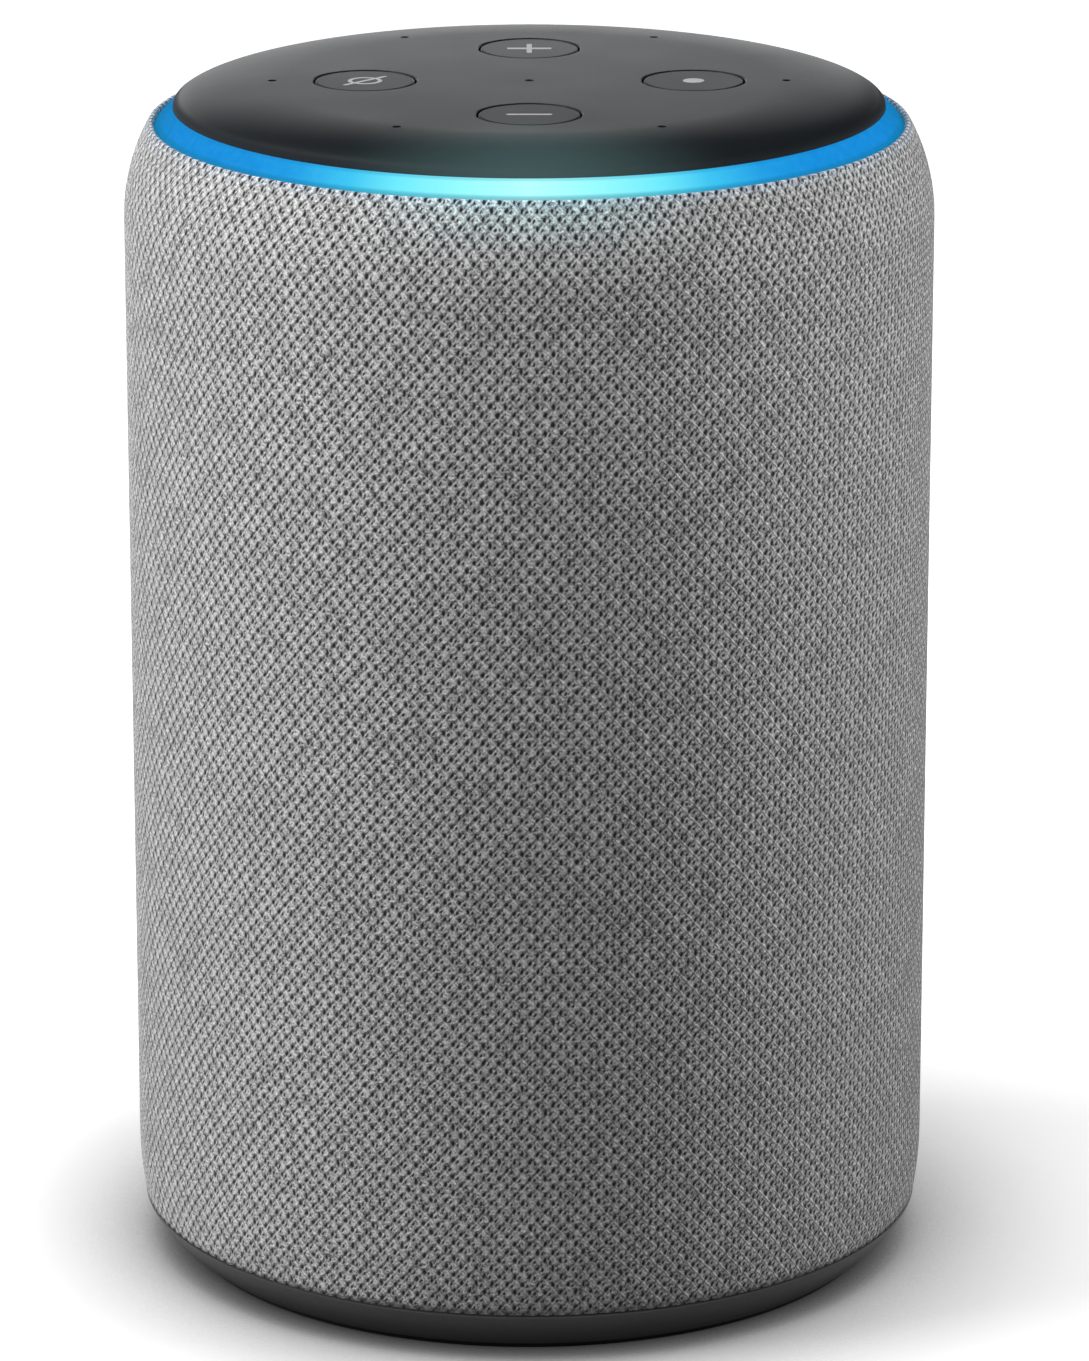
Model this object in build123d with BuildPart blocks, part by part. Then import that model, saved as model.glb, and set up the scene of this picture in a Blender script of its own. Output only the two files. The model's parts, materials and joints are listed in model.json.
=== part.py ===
from build123d import *
import os
from math import asin, cos, radians, sin, sqrt

# A cylindrical smart speaker: a fabric-covered grille round a down-firing woofer, an up-firing
# tweeter, two round circuit boards, and a top plate with four buttons inside a light ring.
# Millimetres. Origin at the centre of the foot, +Z up, the front faces -Y, the sockets face +Y.

os.makedirs("parts", exist_ok=True)

# Whole body
body_height = 148.0
body_radius = 49.5
fit = 0.06  # between pieces that are glued, clipped or pressed together
slip = 0.25  # between pieces that only pass each other

# Outer skin, seen in section
fabric_thickness = 0.8
shell_wall = 2.0
shoulder_radius = 23.0  # the arc that leads the wall in to the light ring
shoulder_drop = 16.3  # from the top face down to where that arc starts
ring_outer_drop = 4.9  # from the top face down to the fabric's upper edge
base_height = 6.2  # the fabric's lower edge
hem_height = 7.7  # the wall curves in over this height above the base
hem_radius = 42.35

# Light ring
ring_width = 2.0
ring_inner_drop = 2.7
ring_wall = 1.5
ring_foot_gap = 0.3  # over the light sources

# Top plate
plate_thickness = 1.7
plate_flat_radius = 30.0
plate_skirt_wall = 1.4
plate_boss_radius = 2.6
plate_boss_inset = 6.4  # from the plate's edge to the bosses' circle
plate_boss_turn = 45.0
plate_boss_count = 4
microphone_circle = 31.3
microphone_hole_radius = 0.55
microphone_count = 6

# Buttons
button_circle = 20.0
button_radius = 6.1
button_edge = 0.25
button_recess = 0.05  # below the plate, so that a printed mark stays flush
button_hole_edge = 0.15
button_flange = 1.1
button_flange_thickness = 1.2
button_travel = 0.5
button_catch_gap = 0.1
plunger_radius = 1.7
plunger_length = 1.4
switch_size = 5.2
switch_height = 1.8
stem_radius = 1.2

# Boards and the frame between them
board_thickness = 1.6
top_board_drop = 6.3  # from the plate's underside to the upper board
frame_height = 5.4
frame_web = 1.6
frame_rim = 2.0
frame_leg = 7.4
post_radius = 3.2
post_inset = 4.8  # from the main board's edge to the posts' circle
post_count = 3
post_turn = 30.0
post_height = 25.0
main_board_inset = 2.0
microphone_length = 3.6
microphone_width = 2.8
microphone_height = 1.1
boot_size = 4.2
led_count = 12
led_length = 2.2
led_width = 1.2
led_height = 1.0
can_length = 30.0
can_width = 24.0
can_height = 2.5
can_wall = 0.3
pad_thickness = 0.5
spreader_length = 44.0
spreader_width = 34.0
spreader_thickness = 1.8
fin_height = 1.6
fin_thickness = 1.2
fin_count = 7
connector_length = 12.0
connector_width = 4.0
connector_height = 2.0
top_cable_gap = 6.0  # from the spreader to the ribbon's connectors
top_cable_thickness = 0.4
cable_width = 9.0
antenna_inset = 4.8
antenna_length = 15.0
antenna_height = 6.0
antenna_thickness = 0.8

# Screws
screw_radius = 1.05
screw_head_radius = 2.2
screw_head_height = 1.3
screw_grip = 5.0

# Loudspeaker enclosure
enclosure_gap = 1.65  # between the enclosure and the grille shell
enclosure_wall = 2.5
enclosure_floor = 3.0
gasket_thickness = 1.0
cap_thickness = 3.0
cap_boss_bite = 0.7  # of each boss stands in the wall
cap_boss_turn = 90.0
cap_boss_radius = 2.6
cap_boss_height = 12.0

# Woofer, heights measured up from its front face
woofer_gap = 0.3  # inside the deflector's pillars
woofer_flange = 4.7
woofer_flange_thickness = 2.0
woofer_screw_count = 4
basket_wall = 1.2
basket_side_height = 9.0
shelf_rise = 21.0
shelf_thickness = 2.0
shelf_radius = 26.0
shelf_hole_radius = 19.0
basket_window_count = 6
basket_window_width = 12.0
basket_window_turn = 30.0
surround_width = 4.3
cone_edge_rise = 4.6
cone_depth = 10.4
cone_thickness = 0.8
surround_drop = 3.8
surround_thickness = 0.6
coil_radius = 9.6
former_thickness = 0.5
coil_winding = 0.5
coil_gap = 0.45
coil_length = 15.0
winding_length = 7.0
dust_cap_radius = 13.0
dust_cap_height = 3.4
dust_cap_thickness = 0.6
spider_height = 4.0
spider_thickness = 0.4
front_plate_radius = 24.0
front_plate_thickness = 4.0
magnet_radius = 26.0
magnet_hole_radius = 13.5
magnet_thickness = 10.0
back_plate_thickness = 3.0

# Tweeter, on the enclosure's cap
tweeter_flange_radius = 16.0
tweeter_flange_thickness = 2.5
dome_radius = 8.6
dome_height = 3.0
dome_thickness = 0.5
dome_roll = 1.0
dome_clearance = 0.4
dome_coil_length = 5.0
yoke_wall = 1.6
yoke_floor = 2.0
yoke_height = 10.0
tweeter_magnet_radius = 7.4
tweeter_magnet_hole = 1.2
reflector_radius = 26.0
reflector_cone_radius = 19.0
reflector_plate = 2.0
reflector_rise = 20.0
reflector_tip_gap = 3.0
reflector_leg_circle = 22.0
reflector_leg_radius = 1.6
reflector_leg_turn = 90.0

# Grille slots, one band for each loudspeaker
slot_width = 2.8
woofer_slot_height = 13.0
woofer_slot_count = 44
slot_arc = 300.0  # the woofer's band stops short of the sockets
tweeter_slot_height = 16.0
tweeter_slot_count = 54

# Base
foot_height = 2.0
foot_stand = 0.8  # how far the foot stands below the tray
foot_width = 6.4
foot_edge = 0.8  # of tray outside the foot
tray_proud = 0.3  # of the fabric, at the tray's rounded upper edge
tray_edge = 0.3
tray_taper = 4.7  # the base narrows by this to its lower edge
tray_bulge = 0.25
tray_floor = 3.4
lip_wall = 1.6
lip_height = 7.8

# Sound deflector between the base and the woofer
cone_hollow = 0.36  # where the cone's arc passes, as a share of its radius and height
cone_tip_radius = 1.0  # the blunt tip of this cone and of the one over the tweeter
deflector_plate = 1.8
deflector_height = 17.0
deflector_gap = 1.7  # from the cone to the socket board
pillar_height = 26.0
pillar_radius = 2.5
pillar_inset = 3.2  # from the enclosure's side to the pillars' circle
pillar_count = 4
pillar_turn = 45.0

# Sockets
port_height = 16.0
bezel_length = 30.0
bezel_height = 14.0
bezel_rim = 1.5
bezel_depth = 6.6
bezel_recess = 3.0
bezel_setback = 0.2
jack_depth = 13.0
dc_place = -6.6
dc_width = 9.6
dc_height = 11.0
dc_nose_radius = 4.2
dc_socket_radius = 2.9
dc_pin_radius = 1.0
dc_pin_setback = 0.6
dc_socket_depth = 10.0
aux_place = 7.2
aux_width = 7.4
aux_rise = 3.6
aux_nose_radius = 3.0
aux_bore_radius = 1.8
aux_bore_depth = 14.0
port_board_margin = 1.5
port_board_tail = 5.0
port_post_radius = 1.8
port_plug_width = 2.6
cable_thickness = 0.4
cable_climb = 2.4  # over the sockets before it turns outward
cable_standoff = 0.35  # from the enclosure's wall

# Heights worked out from the base upwards
tray_top = foot_stand + tray_floor
deflector_top = tray_top + deflector_plate
enclosure_bottom = deflector_top + pillar_height
woofer_face = enclosure_bottom - gasket_thickness - woofer_flange_thickness
hem_start = base_height + hem_height
lip_top = base_height + lip_height

# Heights worked out from the top downwards
shoulder_start = body_height - shoulder_drop
plate_underside = body_height - plate_thickness
top_board_top = plate_underside - top_board_drop
top_board_bottom = top_board_top - board_thickness
frame_bottom = top_board_bottom - frame_height
main_board_top = frame_bottom - frame_leg
main_board_bottom = main_board_top - board_thickness
cap_top = main_board_bottom - post_height
cap_bottom = cap_top - cap_thickness
enclosure_top = cap_bottom - gasket_thickness

# The skin's arcs, whose centres every layer of the wall shares
shoulder_centre = body_radius - shoulder_radius
hem_centre = body_radius - hem_radius
shoulder_angle = asin((shoulder_drop - ring_outer_drop) / shoulder_radius)


def shoulder_point(inset, angle):
    """A corner on the shoulder arc, set in from the skin."""
    reach = shoulder_radius - inset
    return (shoulder_centre + reach * cos(angle), shoulder_start + reach * sin(angle))


def hem_point(inset, height):
    """A corner on the curve above the base, set in from the skin."""
    rise = hem_start - height
    return (hem_centre + sqrt((hem_radius - inset) ** 2 - rise**2), height)


def skin_line(inset, angle):
    """The wall's section from the base up to an angle on the shoulder, set in from the skin."""
    middle = (base_height + hem_start) / 2
    ThreePointArc(hem_point(inset, base_height), hem_point(inset, middle), hem_point(inset, hem_start))
    Line(hem_point(inset, hem_start), shoulder_point(inset, 0))
    ThreePointArc(*(shoulder_point(inset, angle * share) for share in (0, 0.5, 1)))


# Radii worked out from the skin inwards
shell_inset = fabric_thickness + fit
shell_inner = body_radius - shell_inset - shell_wall
enclosure_radius = shell_inner - enclosure_gap
ring_tip_angle = asin((shoulder_drop - ring_outer_drop) / (shoulder_radius - shell_inset))
ring_tip = shoulder_point(shell_inset, ring_tip_angle)
ring_inner_radius = ring_tip[0] - ring_width
ring_outer_wall = ring_inner_radius + ring_wall
plate_radius = ring_inner_radius - fit
plate_edge = body_height - ring_inner_drop
mouth_radius = ring_outer_wall + fit
shell_top = shoulder_point(shell_inset, shoulder_angle)[1] - slip
shell_top_angle = asin((shell_top - shoulder_start) / (shoulder_radius - shell_inset))
top_board_radius = mouth_radius - 2 * slip
frame_radius = mouth_radius - slip
main_board_radius = frame_radius - main_board_inset
lip_radius = shell_inner - fit
lip_inner = lip_radius - lip_wall
tray_radius = hem_point(0, base_height)[0] + tray_proud
tray_foot_radius = tray_radius - tray_taper
foot_outer = tray_foot_radius - foot_edge
foot_inner = foot_outer - foot_width
plate_boss_circle = plate_radius - plate_boss_inset
post_circle = main_board_radius - post_inset
enclosure_inner = enclosure_radius - enclosure_wall
cap_boss_circle = enclosure_inner - cap_boss_radius + cap_boss_bite
pillar_circle = enclosure_radius - pillar_inset
woofer_radius = pillar_circle - pillar_radius - woofer_gap


def cap_arc(radius, height, rim):
    """A shallow dome's section from its rim to its crown; a negative height hangs it from the rim."""
    sphere = (radius**2 + height**2) / (2 * height)
    half_angle = asin(radius / abs(sphere)) / 2
    middle = (abs(sphere) * sin(half_angle), rim + height - sphere * (1 - cos(half_angle)))
    ThreePointArc((0, rim + height), middle, (radius, rim))


def cone_side(radius, base, height):
    """A blunt cone's section from its hollowed side to its axis; a negative height points it down."""
    ThreePointArc(
        (radius, base),
        (radius * cone_hollow, base + height * cone_hollow),
        (cone_tip_radius, base + height),
    )
    Line((cone_tip_radius, base + height), (0, base + height))


def save(piece, name):
    """Labels a finished piece and writes it as its own STEP file."""
    piece.part.label = name
    export_step(piece.part, f"parts/{name}.step")


def turned(*corners):
    """A piece turned about the Z axis from the corners of its section, as (radius, height)."""
    with BuildPart() as piece:
        with BuildSketch(Plane.XZ):
            with BuildLine():
                Polyline(*corners, close=True)
            make_face()
        revolve(axis=Axis.Z)
    return piece


def flat_ring(inner, outer, low, high):
    """A flat ring about the Z axis."""
    with BuildPart() as piece:
        with BuildSketch(Plane.XY.offset(low)):
            Circle(outer)
            Circle(inner, mode=Mode.SUBTRACT)
        extrude(amount=high - low)
    return piece


def columns(circle, count, start, radius, low, high, mode=Mode.ADD):
    """Round columns or holes on a circle about the Z axis, for use inside a part."""
    with BuildSketch(Plane.XY.offset(low)) as sections:
        with PolarLocations(circle, count, start_angle=start):
            Circle(radius)
    extrude(sections.sketch, amount=high - low, mode=mode)


def blocks(places, length, width, low, high, mode=Mode.ADD):
    """Upright blocks centred on the given places, for use inside a part."""
    with BuildSketch(Plane.XY.offset(low)) as sections:
        with Locations(*places):
            Rectangle(length, width)
    extrude(sections.sketch, amount=high - low, mode=mode)


def screws(circle, count, start, head_low, head_high, shank_end):
    """A ring of screws, with shanks that point up or down from their heads to the given height."""
    shank_low = head_high if shank_end > head_high else shank_end
    shank_high = shank_end if shank_end > head_high else head_low
    with BuildPart() as piece:
        columns(circle, count, start, screw_head_radius, head_low, head_high)
        columns(circle, count, start, screw_radius, shank_low, shank_high)
    return piece


rear = Plane(origin=(0, 0, port_height), x_dir=(-1, 0, 0), z_dir=(0, 1, 0))


def rear_cut(margin):
    """The round-ended cut for the socket panel through the rear wall, for use inside a part."""
    with BuildSketch(rear) as window:
        SlotOverall(bezel_length + 2 * margin, bezel_height + 2 * margin)
    extrude(window.sketch, amount=body_radius + slip, mode=Mode.SUBTRACT)


# ---------------------------------------------------------------- outer skin

# Knitted sleeve, wrapped over the grille, with a rolled edge round the light ring
hem_roll = fabric_thickness / 2
with BuildPart() as fabric_sleeve:
    with BuildSketch(Plane.XZ):
        with BuildLine():
            skin_line(0, shoulder_angle)
            skin_line(fabric_thickness, shoulder_angle)
            Line(hem_point(0, base_height), hem_point(fabric_thickness, base_height))
            ThreePointArc(
                shoulder_point(0, shoulder_angle),
                shoulder_point(hem_roll, shoulder_angle + hem_roll / (shoulder_radius - hem_roll)),
                shoulder_point(fabric_thickness, shoulder_angle),
            )
        make_face()
    revolve(axis=Axis.Z)
    rear_cut(fit)
save(fabric_sleeve, "fabric_sleeve")

# Grille: a one-piece moulded shell, slotted in two bands for the woofer and the tweeter
shell_mouth_low = shoulder_start + shell_wall
shell_funnel = shell_inner - mouth_radius
woofer_slot_low = enclosure_bottom - slip - woofer_slot_height
tweeter_slot_low = cap_top + slip
with BuildPart() as grille_shell:
    with BuildSketch(Plane.XZ):
        with BuildLine():
            skin_line(shell_inset, shell_top_angle)
            Polyline(
                shoulder_point(shell_inset, shell_top_angle),
                (mouth_radius, shell_top),
                (mouth_radius, shell_mouth_low + shell_funnel),
                (shell_inner, shell_mouth_low),
                (shell_inner, base_height),
                hem_point(shell_inset, base_height),
            )
        make_face()
    revolve(axis=Axis.Z)
    rear_cut(fit)
    slot_depth = 4 * shell_wall
    with BuildSketch(Plane.XY.offset(woofer_slot_low)):
        with PolarLocations(shell_inner, woofer_slot_count, 270 - slot_arc / 2, slot_arc):
            Rectangle(slot_depth, slot_width)
    extrude(amount=woofer_slot_height, mode=Mode.SUBTRACT)
    with BuildSketch(Plane.XY.offset(tweeter_slot_low)):
        with PolarLocations(shell_inner, tweeter_slot_count):
            Rectangle(slot_depth, slot_width)
    extrude(amount=tweeter_slot_height, mode=Mode.SUBTRACT)
save(grille_shell, "grille_shell")

# ---------------------------------------------------------------- top face

# Light ring: a clear moulding whose head fills the space from the plate to the fabric's rolled edge
ring_foot = top_board_top + led_height + ring_foot_gap
light_ring = turned(
    (ring_inner_radius, plate_edge),
    ring_tip,
    shoulder_point(shell_inset, shell_top_angle),
    (ring_outer_wall, shell_top),
    (ring_outer_wall, ring_foot),
    (ring_inner_radius, ring_foot),
)
save(light_ring, "light_ring")

# Top plate: flat in the middle, falling in an elliptical rim to the light ring
button_hole_radius = button_radius + slip
rim_fall = plate_edge - plate_underside
with BuildPart() as top_plate:
    with BuildSketch(Plane.XZ):
        with BuildLine():
            Line((0, body_height), (plate_flat_radius, body_height))
            EllipticalCenterArc(
                (plate_flat_radius, plate_edge),
                plate_radius - plate_flat_radius,
                ring_inner_drop,
                start_angle=0,
                arc_size=90,
            )
            Polyline(
                (plate_radius, plate_edge),
                (plate_radius, ring_foot),
                (plate_radius - plate_skirt_wall, ring_foot),
                (plate_radius - plate_skirt_wall, plate_underside - plate_thickness),
                (plate_radius - 2 * plate_skirt_wall - plate_thickness, plate_underside),
                (0, plate_underside),
                (0, body_height),
            )
        make_face()
    revolve(axis=Axis.Z)
    columns(
        plate_boss_circle,
        plate_boss_count,
        plate_boss_turn,
        plate_boss_radius,
        top_board_top,
        plate_underside,
    )
    columns(
        plate_boss_circle,
        plate_boss_count,
        plate_boss_turn,
        screw_radius + fit,
        top_board_top,
        plate_underside,
        Mode.SUBTRACT,
    )
    columns(button_circle, 4, 0, button_hole_radius, plate_underside, body_height, Mode.SUBTRACT)
    chamfer(
        top_plate.edges().filter_by(GeomType.CIRCLE).filter_by(
            lambda edge: edge.radius == button_hole_radius
        ).group_by(Axis.Z)[-1],
        button_hole_edge,
    )
    columns(
        microphone_circle,
        microphone_count,
        0,
        microphone_hole_radius,
        plate_underside,
        body_height,
        Mode.SUBTRACT,
    )
    columns(0, 1, 0, microphone_hole_radius, plate_underside, body_height, Mode.SUBTRACT)
save(top_plate, "top_plate")

# Four buttons, each a cap with a catch flange and a plunger, on its own switch stem
flange_top = plate_underside - button_catch_gap
flange_bottom = flange_top - button_flange_thickness
plunger_end = flange_bottom - plunger_length
stem_end = top_board_top + button_travel + 2 * fit
button_places = {
    "action": (button_circle, 0),
    "volume_up": (0, button_circle),
    "microphone_off": (-button_circle, 0),
    "volume_down": (0, -button_circle),
}
for button_name, button_place in button_places.items():
    with BuildPart() as button:
        with BuildSketch(Plane.XY.offset(flange_bottom)):
            with Locations(button_place):
                Circle(button_radius + button_flange)
        extrude(amount=button_flange_thickness)
        with BuildSketch(Plane.XY.offset(flange_top)):
            with Locations(button_place):
                Circle(button_radius)
        extrude(amount=body_height - button_recess - flange_top)
        with BuildSketch(Plane.XY.offset(plunger_end)):
            with Locations(button_place):
                Circle(plunger_radius)
        extrude(amount=plunger_length)
        fillet(button.faces().sort_by(Axis.Z)[-1].edges(), button_edge)
    save(button, f"{button_name}_button")

    with BuildPart() as stem:
        with BuildSketch(Plane.XY.offset(stem_end)):
            with Locations(button_place):
                Circle(stem_radius)
        extrude(amount=plunger_end - stem_end)
    save(stem, f"{button_name}_stem")

# Switch housings on the upper board, bored for their stems
with BuildPart() as switch_housings:
    blocks(button_places.values(), switch_size, switch_size, top_board_top, top_board_top + switch_height)
    columns(
        button_circle,
        len(button_places),
        0,
        stem_radius + slip,
        top_board_top,
        top_board_top + switch_height,
        Mode.SUBTRACT,
    )
save(switch_housings, "switch_housings")

# Seven microphones, each under a rubber boot that leads up to its hole in the plate
microphone_top = top_board_top + microphone_height
ring_step = 360 / microphone_count
microphone_places = [(0, 0)] + [
    (microphone_circle * cos(radians(ring_step * k)), microphone_circle * sin(radians(ring_step * k)))
    for k in range(microphone_count)
]
with BuildPart() as microphones:
    blocks(microphone_places, microphone_length, microphone_width, top_board_top, microphone_top)
save(microphones, "microphones")

with BuildPart() as microphone_boots:
    blocks(microphone_places, boot_size, boot_size, microphone_top, plate_underside)
    with BuildSketch(Plane.XY.offset(microphone_top)):
        with Locations(*microphone_places):
            Circle(microphone_hole_radius)
    extrude(amount=plate_underside - microphone_top, mode=Mode.SUBTRACT)
save(microphone_boots, "microphone_boots")

# Light sources round the upper board's edge, under the light ring
led_circle = top_board_radius - led_width / 2 - slip
with BuildPart() as ring_leds:
    with BuildSketch(Plane.XY.offset(top_board_top)):
        with PolarLocations(led_circle, led_count, start_angle=180 / led_count):
            Rectangle(led_width, led_length)
    extrude(amount=led_height)
save(ring_leds, "ring_leds")

# ---------------------------------------------------------------- boards

with BuildPart() as top_board:
    with BuildSketch(Plane.XY.offset(top_board_bottom)):
        Circle(top_board_radius)
        with PolarLocations(plate_boss_circle, plate_boss_count, start_angle=plate_boss_turn):
            Circle(screw_radius + fit, mode=Mode.SUBTRACT)
    extrude(amount=board_thickness)
save(top_board, "top_board")

# Frame that carries the upper board on a rim and four bosses, and stands on three legs
top_cable_place = spreader_length / 2 + top_cable_gap + connector_width / 2
with BuildPart() as top_frame:
    with BuildSketch(Plane.XY.offset(frame_bottom)):
        Circle(frame_radius)
    extrude(amount=frame_web)
    with BuildSketch(Plane.XY.offset(frame_bottom)):
        Circle(frame_radius)
        Circle(frame_radius - frame_rim, mode=Mode.SUBTRACT)
    extrude(amount=frame_height)
    columns(
        plate_boss_circle,
        plate_boss_count,
        plate_boss_turn,
        plate_boss_radius,
        frame_bottom,
        top_board_bottom,
    )
    columns(post_circle, post_count, post_turn, post_radius, main_board_top, frame_bottom)
    columns(
        plate_boss_circle,
        plate_boss_count,
        plate_boss_turn,
        screw_radius + fit,
        frame_bottom,
        top_board_bottom,
        Mode.SUBTRACT,
    )
    columns(
        post_circle,
        post_count,
        post_turn,
        screw_radius + fit,
        main_board_top,
        frame_bottom + frame_web,
        Mode.SUBTRACT,
    )
    blocks(
        [(top_cable_place, 0)],
        connector_width + 4 * slip,
        connector_length + 4 * slip,
        frame_bottom,
        frame_bottom + frame_web,
        Mode.SUBTRACT,
    )
save(top_frame, "top_frame")

top_screws = screws(
    plate_boss_circle,
    plate_boss_count,
    plate_boss_turn,
    frame_bottom - screw_head_height,
    frame_bottom,
    top_board_top + screw_grip,
)
save(top_screws, "top_screws")

with BuildPart() as main_board:
    with BuildSketch(Plane.XY.offset(main_board_bottom)):
        Circle(main_board_radius)
        with PolarLocations(post_circle, post_count, start_angle=post_turn):
            Circle(screw_radius + fit, mode=Mode.SUBTRACT)
    extrude(amount=board_thickness)
save(main_board, "main_board")

board_screws = screws(
    post_circle,
    post_count,
    post_turn,
    frame_bottom + frame_web,
    frame_bottom + frame_web + screw_head_height,
    main_board_bottom - screw_grip,
)
save(board_screws, "board_screws")

# Shield can over the processor, with the pad and finned spreader that cool it
can_top = main_board_top + can_height
with BuildPart() as shield_can:
    blocks([(0, 0)], can_length, can_width, main_board_top, can_top)
    blocks(
        [(0, 0)],
        can_length - 2 * can_wall,
        can_width - 2 * can_wall,
        main_board_top,
        can_top - can_wall,
        Mode.SUBTRACT,
    )
save(shield_can, "shield_can")

pad_top = can_top + pad_thickness
with BuildPart() as thermal_pad:
    blocks([(0, 0)], can_length - 2 * can_wall, can_width - 2 * can_wall, can_top, pad_top)
save(thermal_pad, "thermal_pad")

spreader_top = pad_top + spreader_thickness
fin_pitch = (spreader_length - fin_thickness) / (fin_count - 1)
with BuildPart() as heat_spreader:
    blocks([(0, 0)], spreader_length, spreader_width, pad_top, spreader_top)
    with BuildSketch(Plane.XY.offset(spreader_top)):
        with GridLocations(fin_pitch, 0, fin_count, 1):
            Rectangle(fin_thickness, spreader_width)
    extrude(amount=fin_height)
save(heat_spreader, "heat_spreader")

# Connectors for the two cables, and the ribbon between the boards
antenna_place = main_board_radius - antenna_inset
rear_plug_place = main_board_radius - connector_width / 2 - 2 * slip
main_plug_top = main_board_top + connector_height
with BuildPart() as board_connectors:
    blocks([(top_cable_place, 0)], connector_width, connector_length, main_board_top, main_plug_top)
    blocks(
        [(top_cable_place, 0)],
        connector_width,
        connector_length,
        top_board_bottom - connector_height,
        top_board_bottom,
    )
    blocks([(0, rear_plug_place)], connector_length, connector_width, main_board_top, main_plug_top)
save(board_connectors, "board_connectors")

with BuildPart() as top_cable:
    blocks(
        [(top_cable_place, 0)],
        top_cable_thickness,
        cable_width,
        main_plug_top,
        top_board_bottom - connector_height,
    )
save(top_cable, "top_cable")

with BuildPart() as antennas:
    with BuildSketch(Plane.XY.offset(main_board_top)):
        with GridLocations(2 * antenna_place, 0, 2, 1):
            Rectangle(antenna_thickness, antenna_length)
    extrude(amount=antenna_height)
save(antennas, "antennas")

# ---------------------------------------------------------------- tweeter

yoke_radius = dome_radius + dome_roll + dome_clearance + yoke_wall
yoke_low = cap_top - yoke_height
tweeter_yoke = turned(
    (0, yoke_low),
    (yoke_radius, yoke_low),
    (yoke_radius, cap_top),
    (yoke_radius - yoke_wall, cap_top),
    (yoke_radius - yoke_wall, yoke_low + yoke_floor),
    (0, yoke_low + yoke_floor),
)
save(tweeter_yoke, "tweeter_yoke")

tweeter_magnet = flat_ring(
    tweeter_magnet_hole,
    tweeter_magnet_radius,
    yoke_low + yoke_floor,
    cap_top - dome_clearance,
)
save(tweeter_magnet, "tweeter_magnet")

tweeter_top = cap_top + tweeter_flange_thickness
tweeter_frame = turned(
    (yoke_radius - yoke_wall, cap_top),
    (tweeter_flange_radius, cap_top),
    (tweeter_flange_radius, tweeter_top - tweeter_flange_thickness / 2),
    (yoke_radius, tweeter_top),
    (yoke_radius - yoke_wall, tweeter_top - tweeter_flange_thickness / 2),
)
save(tweeter_frame, "tweeter_frame")

# Dome with its roll and its short coil tube, which moves as one piece
dome_base = cap_top + tweeter_flange_thickness / 2
with BuildPart() as tweeter_dome:
    with BuildSketch(Plane.XZ):
        with BuildLine():
            cap_arc(dome_radius, dome_height, dome_base)
            Line((0, dome_base + dome_height), (0, dome_base + dome_height - dome_thickness))
            cap_arc(dome_radius - dome_thickness, dome_height - dome_thickness, dome_base)
            Polyline(
                (dome_radius - dome_thickness, dome_base),
                (dome_radius - dome_thickness, dome_base - dome_coil_length),
                (dome_radius, dome_base - dome_coil_length),
                (dome_radius, dome_base - dome_thickness),
                (dome_radius + dome_roll, dome_base - dome_thickness),
                (dome_radius + dome_roll, dome_base),
                (dome_radius, dome_base),
            )
        make_face()
    revolve(axis=Axis.Z)
save(tweeter_dome, "tweeter_dome")

# Reflector: a cone hung over the dome that turns the treble outwards all round
reflector_low = cap_top + reflector_rise - reflector_plate
reflector_tip = dome_base + dome_height + reflector_tip_gap
with BuildPart() as tweeter_reflector:
    with BuildSketch(Plane.XZ):
        with BuildLine():
            Polyline(
                (0, reflector_tip),
                (0, reflector_low + reflector_plate),
                (reflector_radius, reflector_low + reflector_plate),
                (reflector_radius, reflector_low),
                (reflector_cone_radius, reflector_low),
            )
            cone_side(reflector_cone_radius, reflector_low, reflector_tip - reflector_low)
        make_face()
    revolve(axis=Axis.Z)
    columns(
        reflector_leg_circle,
        post_count,
        reflector_leg_turn,
        reflector_leg_radius,
        cap_top,
        reflector_low,
    )
save(tweeter_reflector, "tweeter_reflector")

# ---------------------------------------------------------------- enclosure

# Cap: closes the enclosure, holds the tweeter and carries the main board on three posts
with BuildPart() as enclosure_cap:
    with BuildSketch(Plane.XY.offset(cap_bottom)):
        Circle(enclosure_radius)
        Circle(yoke_radius + fit, mode=Mode.SUBTRACT)
        with PolarLocations(cap_boss_circle, post_count, start_angle=cap_boss_turn):
            Circle(screw_radius + fit, mode=Mode.SUBTRACT)
    extrude(amount=cap_thickness)
    columns(post_circle, post_count, post_turn, post_radius, cap_top, main_board_bottom)
    columns(
        post_circle,
        post_count,
        post_turn,
        screw_radius + fit,
        main_board_bottom - 2 * screw_grip,
        main_board_bottom,
        Mode.SUBTRACT,
    )
save(enclosure_cap, "enclosure_cap")

cap_gasket = flat_ring(enclosure_inner, enclosure_radius, enclosure_top, cap_bottom)
save(cap_gasket, "cap_gasket")

cap_screws = screws(
    cap_boss_circle,
    post_count,
    cap_boss_turn,
    cap_top,
    cap_top + screw_head_height,
    enclosure_top - screw_grip,
)
save(cap_screws, "cap_screws")

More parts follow.
